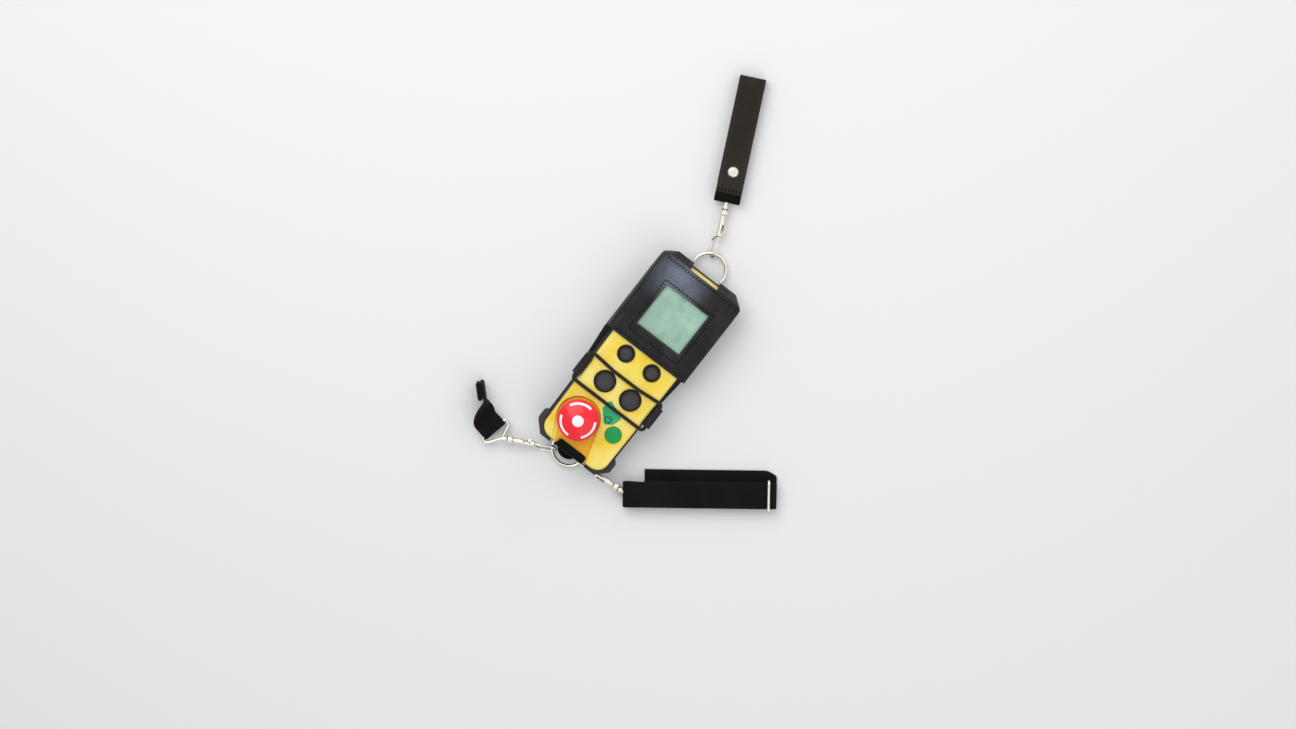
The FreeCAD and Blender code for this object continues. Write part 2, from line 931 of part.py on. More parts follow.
def ring_loop(bar_y, sign):
    # Leather strip doubled round the bar of a ring, with its bore
    radius = ring_wire + gap + loop_wall
    centre = (bar_y, bar_height)
    tail_y = bar_y - sign * loop_tail
    low = tangent_from((tail_y, 0), centre, radius, sign)
    high = tangent_from((tail_y, spine_thickness), centre, radius, -sign)
    half = loop_width / 2
    points = [V(-half, tail_y, 0), V(-half, low[0], low[1]), V(-half, bar_y + sign * radius, bar_height),
              V(-half, high[0], high[1]), V(-half, tail_y, spine_thickness)]
    edges = [
        Part.LineSegment(points[0], points[1]).toShape(),
        Part.Arc(points[1], points[2], points[3]).toShape(),
        Part.LineSegment(points[3], points[4]).toShape(),
        Part.LineSegment(points[4], points[0]).toShape(),
    ]
    return Part.Face(Part.Wire(edges)).extrude(V(loop_width, 0, 0))


def spine_strap():
    low = bottom_bar_y + loop_tail
    high = top_bar_y - loop_tail
    flat = slab(spine_width, high - low, 0, spine_thickness, 0, (low + high) / 2)
    tab_end = bottom_bar_y - bottom_ring_leg
    tab = slab(2 * tab_radius, low - tab_end, 0, spine_thickness, 0, (low + tab_end) / 2)
    tip = cylinder(tab_radius, 0, spine_thickness, 0, tab_end)
    body = fused([flat, tab, tip, ring_loop(top_bar_y, 1), ring_loop(bottom_bar_y, -1)])
    for bar_y in (top_bar_y, bottom_bar_y):
        bore = rod(ring_wire + gap, V(-loop_width, bar_y, bar_height), V(loop_width, bar_y, bar_height))
        body = body.cut(bore)
    return body


def bottom_tongue():
    contour = [
        (panel_bottom, case_low),
        (back_bottom, case_low),
        (parting_bottom, parting),
        (parting_bottom, front_low),
        (face_bottom, face),
        (face_bottom + tongue_overlap, face),
    ]
    inner = offset_line(contour, gap)
    outer = offset_line(contour, gap + panel_thickness)
    return across_x(inner + outer[::-1], spine_width / 2)


def side_wing(side):
    x = side * wing_x
    middle = (wing_low + wing_high) / 2
    wall = slab(panel_thickness, wing_high - wing_low, panel_high, cord_level, x, middle)
    hem = rod(hem_radius, V(x, wing_low, cord_level), V(x, wing_high, cord_level))
    bore = rod(cord_radius + gap, V(x, wing_low - fit, cord_level), V(x, wing_high + fit, cord_level))
    return fused([wall, hem]).cut(bore)


def elastic_loop():
    points = [
        V(wing_x, cord_low, cord_level),
        V(wing_x, cord_high_side, cord_level),
        V(cord_bend_x, cord_high_middle, cord_level),
        V(-cord_bend_x, cord_high_middle, cord_level),
        V(-wing_x, cord_high_side, cord_level),
        V(-wing_x, cord_low, cord_level),
    ]
    ends = [cord_corner, cord_corner]
    return tube(points, ends + [cord_bend_radius, cord_bend_radius] + ends, cord_radius, True)


# Rings and hooks

ring_radius = ring_inner_width / 2 + ring_wire
top_ring_centre = V(0, top_bar_y + top_ring_leg, bar_height)
bottom_ring_centre = V(0, bottom_bar_y - bottom_ring_leg, bar_height)


def strap_ring(bar_y, centre_y):
    far = centre_y + math.copysign(ring_radius, centre_y)
    points = [V(-ring_radius, bar_y, bar_height), V(ring_radius, bar_y, bar_height),
              V(ring_radius, far, bar_height), V(-ring_radius, far, bar_height)]
    return tube(points, [ring_corner, ring_corner, ring_radius, ring_radius], ring_wire, True)


barrel_end = barrel_start + barrel_length
bolt_start = jaw_tip + bolt_gap
bolt_end = barrel_start + bolt_tail
bore_end = bolt_end + bolt_travel + 2 * bolt_gap
knob_place = barrel_start + knob_seat
housing_start = barrel_end + neck_length
housing_end = housing_start + housing_length
head_start = housing_start + swivel_wall
head_end = head_start + swivel_head_height
eye_start = housing_end + bead_offset + bead_length
crossbar_place = housing_end + crossbar_offset
axis_level = bar_height + jaw_radius * math.sin(math.radians(jaw_roll))
axis_shift = jaw_radius * math.cos(math.radians(jaw_roll))


def hook_contact(centre, angle):
    return centre + direction_at(angle) * ring_radius


def set_on_ring(shape, contact, angle):
    # From the hook's own frame, X along the hook from the ring wire, to its place on the ring
    placed = shape.copy()
    placed.rotate(ORIGIN, X_AXIS, -jaw_roll)
    placed.rotate(ORIGIN, Z_AXIS, angle)
    placed.translate(contact)
    return placed


def on_axis(shape):
    return shape.translated(V(0, -jaw_radius, 0))


def axis_point(contact, angle, length):
    # Point on the swivel axis of a placed hook
    sideways = direction_at(angle - QUARTER_TURN) * axis_shift
    return contact + direction_at(angle) * length + sideways + V(0, 0, axis_level - bar_height)


def hook_body():
    points = [
        V(jaw_tip, -jaw_radius, 0),
        V(jaw_seat - jaw_radius, -jaw_radius, 0),
        V(jaw_seat - jaw_radius, jaw_radius, 0),
        V(jaw_back, jaw_radius, 0),
        V(barrel_start + barrel_radius, -jaw_radius, 0),
    ]
    jaw = tube(points, [0, jaw_radius, jaw_radius, jaw_radius, 0], jaw_wire)
    barrel = on_axis(turned_along([
        (barrel_start, 0),
        (barrel_start, barrel_radius - barrel_edge),
        (barrel_start + barrel_edge, barrel_radius),
        (barrel_end, barrel_radius),
        (barrel_end + barrel_edge, neck_radius),
        (housing_start, neck_radius),
        (housing_start + 2 * barrel_edge, housing_radius),
        (housing_end - 2 * barrel_edge, housing_radius),
        (housing_end, housing_radius - 2 * barrel_edge),
        (housing_end, 0),
    ]))
    body = fused([barrel, jaw])
    bore = on_axis(rod(jaw_wire + gap, V(barrel_start - jaw_wire, 0, 0), V(bore_end, 0, 0)))
    slot_low = knob_place - knob_radius - gap
    slot_high = knob_place + bolt_travel + knob_radius + gap
    slot_half = knob_radius + gap
    slot = Part.makeBox(slot_high - slot_low, 2 * barrel_radius, 2 * slot_half,
                        V(slot_low, -jaw_radius - 2 * barrel_radius, -slot_half))
    cavity = on_axis(rod(swivel_head_radius + gap, V(head_start - gap, 0, 0), V(head_end + gap, 0, 0)))
    mouth = on_axis(rod(swivel_stem_radius + gap, V(head_end, 0, 0), V(housing_end + gap, 0, 0)))
    for cut in (bore, slot, cavity, mouth):
        body = body.cut(cut)
    return body


def hook_bolt():
    pin = on_axis(rod(jaw_wire, V(bolt_start, 0, 0), V(bolt_end, 0, 0)))
    root = V(knob_place, -jaw_radius, 0)
    tip = root - V(0, knob_reach, 0)
    stem = rod(knob_radius, root, tip)
    head = rod(knob_head_radius, tip, tip - V(0, knob_head_height, 0))
    return fused([pin, stem, head])


def swivel_stem(end):
    return on_axis(turned_along([
        (head_start, 0),
        (head_start, swivel_head_radius),
        (head_end, swivel_head_radius),
        (head_end, swivel_stem_radius),
        (housing_end + bead_offset, swivel_stem_radius),
        (housing_end + bead_offset, bead_radius),
        (eye_start, bead_radius),
        (eye_start, swivel_stem_radius),
        (end, swivel_stem_radius),
        (end, 0),
    ]))


def crossbar_eye(contact, angle, strap_angle):
    stem = set_on_ring(swivel_stem(crossbar_place), contact, angle)
    centre = axis_point(contact, angle, crossbar_place)
    reach = direction_at(strap_angle + QUARTER_TURN) * (crossbar_length / 2)
    return fused([stem, rod(crossbar_radius, centre - reach, centre + reach)])


eye_half = webbing_width / 2 + 2 * gap + eye_wire


def triangle_eye(contact, angle, strap_angle):
    stem = set_on_ring(swivel_stem(eye_start + swivel_stem_radius), contact, angle)
    apex = axis_point(contact, angle, eye_start + swivel_stem_radius)
    base = apex + direction_at(strap_angle) * eye_depth
    reach = direction_at(strap_angle + QUARTER_TURN) * eye_half
    shoulder = base - direction_at(strap_angle) * eye_shoulder
    points = [base - reach, base + reach, shoulder + reach, apex, shoulder - reach]
    corner = 2 * eye_wire
    loop = tube(points, [eye_wire, eye_wire, corner, corner, corner], eye_wire, True)
    return fused([stem, loop])


# Straps

def set_along(shape, place, angle):
    # From a strap's own frame, X along the strap and Y across it, to its place
    placed = shape.copy()
    placed.rotate(ORIGIN, Z_AXIS, angle)
    placed.translate(V(place.x, place.y, 0))
    return placed


def ribbon(points, radii, thickness, width):
    # Flat band along a path of (length, height) points, centred across its width
    path = Part.Wire(path_edges([V(s, 0, z) for s, z in points], radii, False))
    start = V(points[0][0], 0, points[0][1])
    corners = [start + V(0, a * width / 2, b * thickness / 2) for a, b in SQUARE]
    section = Part.makePolygon(corners + corners[:1])
    return path.makePipeShell([section], True, False)


def strap_head(bar_radius, tail, width):
    # Doubled end of a strap, sewn back on itself round a bar at the swivel axis
    radius = bar_radius + gap + webbing_thickness
    top = axis_level + radius
    low = top - 2 * webbing_thickness
    fold = min(strap_fold, tail - webbing_thickness)
    touch = tangent_from((fold, low), (0, axis_level), radius, -1)
    half = width / 2
    corners = [(0, top), (tail, top), (tail, low), (fold, low), touch]
    points = [V(s, -half, z) for s, z in corners]
    edges = [Part.LineSegment(a, b).toShape() for a, b in zip(points, points[1:])]
    edges.append(Part.Arc(points[-1], V(-radius, -half, axis_level), points[0]).toShape())
    head = Part.Face(Part.Wire(edges)).extrude(V(0, width, 0))
    return head.cut(rod(bar_radius + gap, V(0, -width, axis_level), V(0, width, axis_level)))


def stem_hole(skew):
    # Hole in the fold of a strap for the stem, which meets the strap at an angle
    centre = V(0, 0, axis_level)
    reach = 2 * (crossbar_radius + gap + webbing_thickness)
    return rod(swivel_stem_radius + 2 * gap, centre, centre - direction_at(skew) * reach)


strap_top = axis_level + crossbar_radius + gap + webbing_thickness
strap_mid = strap_top - webbing_thickness / 2
strap_under = strap_top - 2 * webbing_thickness
slider_under = strap_top - webbing_thickness - gap - 2 * slider_wire
back_pitch = (slider_under - gap - webbing_thickness) / (back_layers - 1)


def shoulder_strap():
    pitch = (strap_mid - webbing_thickness / 2) / (fold_layers - 1)
    points = [(strap_tail, strap_mid)]
    for i in range(fold_layers - 1):
        left = strap_tail + fold_step if i < short_layers else strap_fold
        end = shoulder_length if i % 2 == 0 else left
        points.append((end, strap_mid - i * pitch))
        points.append((end, strap_mid - (i + 1) * pitch))
    points.append((shoulder_length, strap_mid - (fold_layers - 1) * pitch))
    radii = [0] + [pitch / 2] * (len(points) - 2) + [0]
    band = ribbon(points, radii, webbing_thickness, webbing_width)
    strap = fused([strap_head(crossbar_radius, strap_tail, webbing_width), band])
    strap = strap.cut(stem_hole(top_hook_angle - shoulder_angle))
    return strap.cut(cylinder(rivet_shank + fit, strap_under - fit, strap_top + fit, rivet_seat, 0))


def strap_rivet():
    top = strap_top + rivet_crown
    low = strap_under - rivet_crown / 2
    profile = [(0, strap_top), (rivet_radius, strap_top), (rivet_radius - rivet_crown, top), (0, top)]
    cap = turned(profile, [0, 0, rivet_crown, 0], rivet_seat, 0)
    shank = cylinder(rivet_shank, low, strap_top + rivet_crown / 2, rivet_seat, 0)
    foot = cylinder(rivet_radius - rivet_crown, low, strap_under, rivet_seat, 0)
    return fused([cap, shank, foot])


def right_strap():
    run = [(strap_tail, strap_mid), (right_length, strap_mid)]
    band = ribbon(run, [0, 0], webbing_thickness, webbing_width)
    strap = fused([strap_head(crossbar_radius, strap_tail, webbing_width), band])
    return strap.cut(stem_hole(right_hook_angle - right_strap_angle))


def right_strap_return():
    levels = [webbing_thickness / 2 + back_pitch * i for i in range(back_layers)]
    points = [(right_length, levels[0])]
    for i, (lower, upper) in enumerate(zip(levels, levels[1:])):
        end = strap_fold + back_pitch if i % 2 == 0 else right_length
        points.append((end, lower))
        points.append((end, upper))
    points.append((strap_fold if back_layers % 2 else right_length, levels[-1]))
    radii = [0] + [back_pitch / 2] * (len(points) - 2) + [0]
    return ribbon(points, radii, webbing_thickness, webbing_width).translated(V(0, back_shift, 0))


def strap_slider():
    half = webbing_width / 2 + slider_side + slider_wire
    low = slider_under + slider_wire
    high = strap_top + gap + slider_wire
    place = right_length - slider_margin
    points = [V(place, -half, low), V(place, half, low), V(place, half, high), V(place, -half, high)]
    return tube(points, [slider_corner] * 4, slider_wire, True)


def left_twist(place, end):
    # Band that leaves the doubled end flat and turns on edge along a smooth curve
    level = axis_level + eye_wire + gap + webbing_thickness / 2
    start = V(place.x, place.y, level) + direction_at(left_strap_angle) * left_tail
    length = start.distanceToPoint(end)
    first_pull = start + direction_at(left_strap_angle) * (length * twist_pull)
    last_pull = end - direction_at(left_fold_angle) * (length * twist_pull)
    sections = []
    for i in range(twist_steps):
        t = i / (twist_steps - 1)
        near_end = first_pull * (3 * t * (1 - t) ** 2) + start * (1 - t) ** 3
        spot = near_end + last_pull * (3 * t * t * (1 - t)) + end * t ** 3
        heading = left_strap_angle + (left_fold_angle - left_strap_angle) * t
        turn = math.radians(QUARTER_TURN * t)
        sideways = direction_at(heading + QUARTER_TURN)
        across = sideways * math.cos(turn) + Z_AXIS * math.sin(turn)
        through = Z_AXIS * math.cos(turn) - sideways * math.sin(turn)
        corners = [spot + across * (a * webbing_width / 2) + through * (b * webbing_thickness / 2)
                   for a, b in SQUARE]
        sections.append(Part.makePolygon(corners + corners[:1]))
    return Part.makeLoft(sections, True, True)


def left_fold():
    # Band standing on edge and laid back and forth, in a frame with X along it
    points = [(0, 0)]
    for i in range(left_layers - 1):
        reach = left_fold_length if i % 2 == 0 else left_pitch
        points.append((reach, i * left_pitch))
        points.append((reach, (i + 1) * left_pitch))
    points.append((left_fold_length if left_layers % 2 else left_pitch, (left_layers - 1) * left_pitch))
    radii = [0] + [left_pitch / 2] * (len(points) - 2) + [0]
    path = Part.Wire(path_edges([V(s, w, 0) for s, w in points], radii, False))
    half = webbing_thickness / 2
    corners = [V(0, -half, 0), V(0, half, 0), V(0, half, webbing_width), V(0, -half, webbing_width)]
    return path.makePipeShell([Part.makePolygon(corners + corners[:1])], True, False)


def left_strap(place, end):
    head = set_along(strap_head(eye_wire, left_tail, webbing_width), place, left_strap_angle)
    return fused([head, left_twist(place, end)])


# Places of the hooks and straps

top_contact = hook_contact(top_ring_centre, top_contact_angle)
left_contact = hook_contact(bottom_ring_centre, left_contact_angle)
right_contact = hook_contact(bottom_ring_centre, right_contact_angle)
shoulder_place = axis_point(top_contact, top_hook_angle, crossbar_place)
right_place = axis_point(right_contact, right_hook_angle, crossbar_place)
left_apex = axis_point(left_contact, left_hook_angle, eye_start + swivel_stem_radius)
left_place = left_apex + direction_at(left_strap_angle) * eye_depth
left_twist_place = V(left_twist_x, left_twist_y, webbing_width / 2)


def build():
    nodes = {
        "front_case": front_case(),
        "rear_case": rear_case(),
        "case_gasket": case_gasket(),
        "case_screws": case_screws(),
        "corner_bumpers": corner_bumpers(),
        "circuit_board": circuit_board(),
        "battery_pack": battery_pack(),
        "battery_cover": battery_cover(),
        "antenna_strip": antenna_strip(),
        "display_module": display_module(),
        "display_lens": display_lens(),
        "start_button": start_button(),
        "start_button_dome": return_dome(start_x, start_y, start_radius, start_low - gap),
        "start_legend": start_legend(),
        "stop_head": stop_head(),
        "stop_markings": stop_markings(),
        "stop_plunger": stop_plunger(),
        "stop_bush": stop_bush(),
        "stop_nut": stop_nut(),
        "stop_contact_block": stop_contact_block(),
        "stop_spring": stop_spring(),
        "holster_pocket": holster_pocket(),
        "holster_back": holster_back(),
        "spine_strap": spine_strap(),
        "bottom_tongue": bottom_tongue(),
        "wing_left": side_wing(-1),
        "wing_right": side_wing(1),
        "elastic_loop": elastic_loop(),
        "top_ring": strap_ring(top_bar_y, top_ring_centre.y),
        "bottom_ring": strap_ring(bottom_bar_y, bottom_ring_centre.y),
        "shoulder_strap": set_along(shoulder_strap(), shoulder_place, shoulder_angle),
        "strap_rivet": set_along(strap_rivet(), shoulder_place, shoulder_angle),
        "right_strap": set_along(right_strap(), right_place, right_strap_angle),
        "right_strap_return": set_along(right_strap_return(), right_place, right_strap_angle),
        "strap_slider": set_along(strap_slider(), right_place, right_strap_angle),
        "left_strap": left_strap(left_place, left_twist_place),
        "left_strap_fold": set_along(left_fold(), left_twist_place, left_fold_angle),
        "top_swivel_eye": crossbar_eye(top_contact, top_hook_angle, shoulder_angle),
        "right_swivel_eye": crossbar_eye(right_contact, right_hook_angle, right_strap_angle),
        "left_swivel_eye": triangle_eye(left_contact, left_hook_angle, left_strap_angle),
    }
    for name, x, y, radius, rim, height, crown in button_list():
        nodes[name] = button_cap(x, y, radius, height, crown)
        nodes[name + "_collar"] = button_collar(x, y, radius, rim)
        nodes[name + "_dome"] = return_dome(x, y, radius, dome_high)
    hooks = [
        ("top", top_contact, top_hook_angle),
        ("left", left_contact, left_hook_angle),
        ("right", right_contact, right_hook_angle),
    ]
    for name, contact, angle in hooks:
        nodes[name + "_hook_body"] = set_on_ring(hook_body(), contact, angle)
        nodes[name + "_hook_bolt"] = set_on_ring(hook_bolt(), contact, angle)
    return nodes


os.makedirs("parts", exist_ok=True)
for node_name, node_shape in build().items():
    node_shape.exportStep("parts/" + node_name + ".step")
    print(node_name, len(node_shape.Solids), node_shape.isValid(), round(node_shape.Volume, 1))
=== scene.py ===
import math
import bpy
import numpy as np
from mathutils import Matrix, Vector


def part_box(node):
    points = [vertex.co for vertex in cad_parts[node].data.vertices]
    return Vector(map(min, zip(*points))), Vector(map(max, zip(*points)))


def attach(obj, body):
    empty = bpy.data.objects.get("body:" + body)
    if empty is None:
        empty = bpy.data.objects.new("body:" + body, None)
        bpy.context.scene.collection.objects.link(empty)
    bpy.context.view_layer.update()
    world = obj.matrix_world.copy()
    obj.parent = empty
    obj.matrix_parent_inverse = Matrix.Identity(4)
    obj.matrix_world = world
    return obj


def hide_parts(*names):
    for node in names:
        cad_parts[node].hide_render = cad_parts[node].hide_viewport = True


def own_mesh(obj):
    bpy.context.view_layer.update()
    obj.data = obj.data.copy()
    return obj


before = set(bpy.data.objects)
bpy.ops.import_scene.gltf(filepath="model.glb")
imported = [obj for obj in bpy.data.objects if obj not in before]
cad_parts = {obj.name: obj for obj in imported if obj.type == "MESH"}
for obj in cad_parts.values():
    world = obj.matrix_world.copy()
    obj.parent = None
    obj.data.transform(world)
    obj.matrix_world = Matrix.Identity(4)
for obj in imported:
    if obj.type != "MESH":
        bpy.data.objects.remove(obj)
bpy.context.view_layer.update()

mm = 0.001
upward, downward = (0.0, 0.0, 1.0), (0.0, 0.0, -1.0)
sides = {"Left": -1, "Right": 1}
scene = bpy.context.scene
scene.view_settings.view_transform = "Standard"


def mathStep(operation, swapped=False):
    # a method that adds one Math node: the socket first and the other value after it, or swapped
    def step(self, *others):
        values = (*others, self) if swapped else (self, *others)
        return self.nodes.add("ShaderNodeMath", dict(enumerate(values)), operation=operation)
    return step


class Wire:
    # a shader socket that takes part in sums and products
    def __init__(self, nodes, socket):
        self.nodes = nodes
        self.socket = socket

    __add__ = __radd__ = mathStep("ADD")
    __sub__ = mathStep("SUBTRACT")
    __rsub__ = mathStep("SUBTRACT", swapped=True)
    __mul__ = __rmul__ = mathStep("MULTIPLY")
    __truediv__ = mathStep("DIVIDE")
    __rtruediv__ = mathStep("DIVIDE", swapped=True)
    __gt__ = mathStep("GREATER_THAN")
    __lt__ = mathStep("LESS_THAN")
    __abs__ = mathStep("ABSOLUTE")
    sine = mathStep("SINE")
    root = mathStep("SQRT")
    least = mathStep("MINIMUM")
    most = mathStep("MAXIMUM")

    def between(self, low, high):
        # smooth 0 to 1 as the value goes from low to high
        inputs = {"Value": self, "From Min": low, "From Max": high}
        return self.nodes.add("ShaderNodeMapRange", inputs, interpolation_type="SMOOTHSTEP")


class Nodes:
    # the nodes of a material or a world, which start with its output alone
    def __init__(self, owner, outputKind):
        owner.use_nodes = True
        self.tree = owner.node_tree
        self.tree.nodes.clear()
        self.output = self.tree.nodes.new(outputKind)

    def plug(self, socket, value):
        # an input gets a link from another node, or a plain value
        if isinstance(value, Wire):
            self.tree.links.new(value.socket, socket)
        else:
            socket.default_value = value

    def add(self, kind, inputs, output=0, **settings):
        # a new node with its settings and inputs, given as one of its outputs
        node = self.tree.nodes.new(kind)
        for name, value in settings.items():
            setattr(node, name, value)
        for key, value in inputs.items():
            self.plug(node.inputs[key], value)
        return Wire(self, node.outputs[output])


class Look(Nodes):
    # one material: a Principled shader and the nodes that feed it; its lengths are in millimetres
    def __init__(self, name, constants):
        self.material = bpy.data.materials.new(name)
        super().__init__(self.material, "ShaderNodeOutputMaterial")
        self.places = {}
        surface = self.add("ShaderNodeBsdfPrincipled", constants)
        self.plug(self.output.inputs["Surface"], surface)
        self.shader = surface.socket.node

    def set(self, socket, value):
        # one input of the shader
        self.plug(self.shader.inputs[socket], value)

    def place(self, kind="Object"):
        # Object or UV coordinates, in metres
        if kind not in self.places:
            self.places[kind] = self.add("ShaderNodeTexCoord", {}, kind)
        return self.places[kind]

    def scaled(self, vector, by):
        return self.add("ShaderNodeVectorMath", {0: vector, 1: by}, operation="MULTIPLY")

    def axes(self, kind="Object"):
        # the three coordinates one by one, in millimetres
        split = self.add("ShaderNodeSeparateXYZ", {0: self.scaled(self.place(kind), (1 / mm,) * 3)})
        return [Wire(self, output) for output in split.socket.node.outputs]

    def noise(self, size, detail=3, rough=0.55, stretch=None):
        # size is the width of a blotch; a stretch under 1 draws it out along that axis
        vector = self.scaled(self.place(), stretch) if stretch else self.place()
        inputs = {"Vector": vector, "Scale": 1 / (size * mm), "Detail": detail, "Roughness": rough}
        return self.add("ShaderNodeTexNoise", inputs)

    def cells(self, size):
        # soft distance to the nearest cell middle, as a share of the size
        inputs = {"Vector": self.place(), "Scale": 1 / (size * mm)}
        return self.add("ShaderNodeTexVoronoi", inputs, feature="SMOOTH_F1")

    def mix(self, share, first, second):
        # colours are display values 0..255, or sockets
        first, second = [c if isinstance(c, Wire) else colour(*c) for c in (first, second)]
        return self.add("ShaderNodeMix", {0: share, 6: first, 7: second}, 2, data_type="RGBA")

    def dressed(self, tone, rough, height=None, depth=0.0, strength=0.0):
        # every look ends here: its colour, its roughness and its fine relief
        self.set("Base Color", tone)
        self.set("Roughness", rough)
        if height:
            inputs = {"Strength": strength, "Distance": depth * mm, "Height": height}
            self.set("Normal", self.add("ShaderNodeBump", inputs))
        return self


def colour(red, green, blue, brighter=1.0):
    # display values 0..255 to linear light, which is then made brighter or darker
    share = np.array([red, green, blue]) / 255
    linear = np.where(share <= 0.04045, share / 12.92, ((share + 0.055) / 1.055) ** 2.4)
    return (*np.minimum(linear * brighter, 1).tolist(), 1.0)


def radial(across, along):
    # square root of the sum of the two squares
    return (across * across + along * along).root()


def linked(name, data):
    # a new object, put in the scene
    thing = bpy.data.objects.new(name, data)
    scene.collection.objects.link(thing)
    return thing


def meshPiece(name, points, faces, look, settings, uv=None):
    # points and uv are in millimetres; settings name the piece's body and slot
    mesh = bpy.data.meshes.new(name)
    mesh.from_pydata((points.reshape(-1, 3) * mm).tolist(), [], faces)
    if uv is not None:
        layer = mesh.uv_layers.new(name="along")
        layer.data.foreach_set("uv", (uv * mm).astype(np.float32).ravel())
    mesh.shade_smooth()
    mesh.update()
    mesh.materials.append(look.material)
    piece = linked(name, mesh)
    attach(piece, settings["body"])
    return piece


def gridFaces(rows, columns, wrapRows=False, wrapColumns=False, keep=None):
    # corner indices of every cell of a grid, and the cell's own row and column
    rowCount = rows if wrapRows else rows - 1
    columnCount = columns if wrapColumns else columns - 1
    i, j = np.indices((rowCount, columnCount)).reshape(2, -1)
    if keep is not None:
        i, j = i[keep.ravel()], j[keep.ravel()]
    ii, jj = (i + 1) % rows, (j + 1) % columns
    return np.stack([i * columns + j, i * columns + jj, ii * columns + jj, ii * columns + j], axis=1), i, j


def gridPiece(name, points, look, settings, wrapRows=False, wrapColumns=False,
              along=None, across=None, keep=None, caps=False):
    # surface through a grid of points; UV is the distance across the columns and along the rows
    rows, columns = points.shape[:2]
    quads, i, j = gridFaces(rows, columns, wrapRows, wrapColumns, keep)
    faces = quads.tolist()
    uv = None
    if along is not None:
        corners = ((0, 0), (0, 1), (1, 1), (1, 0))
        uv = [np.stack([across[j + b], along[i + a]], axis=1) for a, b in corners]
        uv = np.stack(uv, axis=1).reshape(-1, 2)
    if caps:
        faces += [list(range(columns))[::-1], list(range((rows - 1) * columns, rows * columns))]
        if uv is not None:
            uv = np.vstack([uv, np.zeros((2 * columns, 2))])
    return meshPiece(name, points, faces, look, settings, uv)


def spread(column, count):
    # one column of values, repeated across a grid
    return np.tile(column[:, None], count)


def onArc(angles, radius=1.0, centre=(0.0, 0.0)):
    # points of a circle at the given angles
    return np.stack([np.cos(angles), np.sin(angles)], axis=1) * radius + centre


def circleOutline(radius, count):
    # closed round section, as (across, through) points
    return onArc(np.linspace(0, 2 * math.pi, count, endpoint=False), radius)


def flatOutline(width, thickness, corner, arcSteps=5, flatSteps=9):
    # closed section of a strip: a rectangle with four quarter rounds and points along its two broad sides
    flat = width / 2 - corner
    arc = onArc(np.linspace(0, math.pi / 2, arcSteps), corner, (flat, thickness / 2 - corner))
    inner = np.linspace(flat, -flat, flatSteps)[1:-1]
    top = np.stack([inner, np.full_like(inner, thickness / 2)], axis=1)
    half = np.vstack([arc, top, arc[::-1] * (-1, 1)])
    return np.vstack([half, -half])


def lengthAlong(points, closed=False):
    # distance run at each point, and for a closed line also back at its start
    steps = np.linalg.norm(np.diff(points, axis=0, append=points[:1]), axis=1)
    total = np.concatenate([[0], np.cumsum(steps)])
    return total if closed else total[:-1]


def evenPath(points, step):
    # the same line with its points set evenly apart
    points = np.asarray(points, dtype=float)
    distance = lengthAlong(points)
    wanted = np.linspace(0, distance[-1], max(3, int(distance[-1] / step) + 1))
    return np.stack([np.interp(wanted, distance, axis) for axis in points.T], axis=1)


def bentPath(corners, radii, step):
    # polyline whose corners are replaced by tangent arcs, sampled about every step
    corners = np.asarray(corners, dtype=float)
    pieces = [corners[:1]]
    for before, corner, after, radius in zip(corners, corners[1:], corners[2:], radii[1:]):
        back, ahead = unit(before - corner), unit(after - corner)
        half = math.acos(np.clip(back @ ahead, -1, 1)) / 2
        reach = radius / math.tan(half)
        centre = corner + unit(back + ahead) * radius / math.sin(half)
        first, last = corner + back * reach - centre, corner + ahead * reach - centre
        sweep = math.pi - 2 * half
        turn = np.linspace(0, 1, max(4, int(radius * sweep / step) + 1))[:, None]
        arc = first * np.sin((1 - turn) * sweep) + last * np.sin(turn * sweep)
        pieces.append(centre + arc / math.sin(sweep))
    return evenPath(np.vstack(pieces + [corners[-1:]]), step)


def unit(vectors):
    # each vector divided by its length
    return vectors / np.linalg.norm(vectors, axis=-1, keepdims=True)


def onMiddle(line):
    # (y, z) points set on the upright middle plane
    return np.insert(line, 0, 0.0, axis=1)


def carried(path, side, up, outline):
    # every outline point (a, b) goes to path + a side + b up
    return path[:, None] + outline[None, :, :1] * side[:, None] + outline[None, :, 1:] * up[:, None]


def stripPiece(name, path, side, outline, look, settings, widen=None):
    # a strip: its section carried along a path, with the given direction across it, widened row by row
    side = unit(np.broadcast_to(side, path.shape))
    up = unit(np.cross(unit(np.gradient(path, axis=0)), side))
    wide = side if widen is None else side * widen[:, None]
    return gridPiece(name, carried(path, wide, up, outline), look, settings, wrapColumns=True,
                     along=lengthAlong(path), across=lengthAlong(outline, closed=True), caps=True)


def turnedPiece(name, line, centre, count, look, settings):
    # a half section of (radius, level) points turned about an upright axis
    points = np.zeros((len(line), count, 3))
    points[..., :2] = centre + line[:, None, :1] * circleOutline(1.0, count)
    points[..., 2] = line[:, None, 1]
    return gridPiece(name, points, look, settings, wrapColumns=True, caps=True)


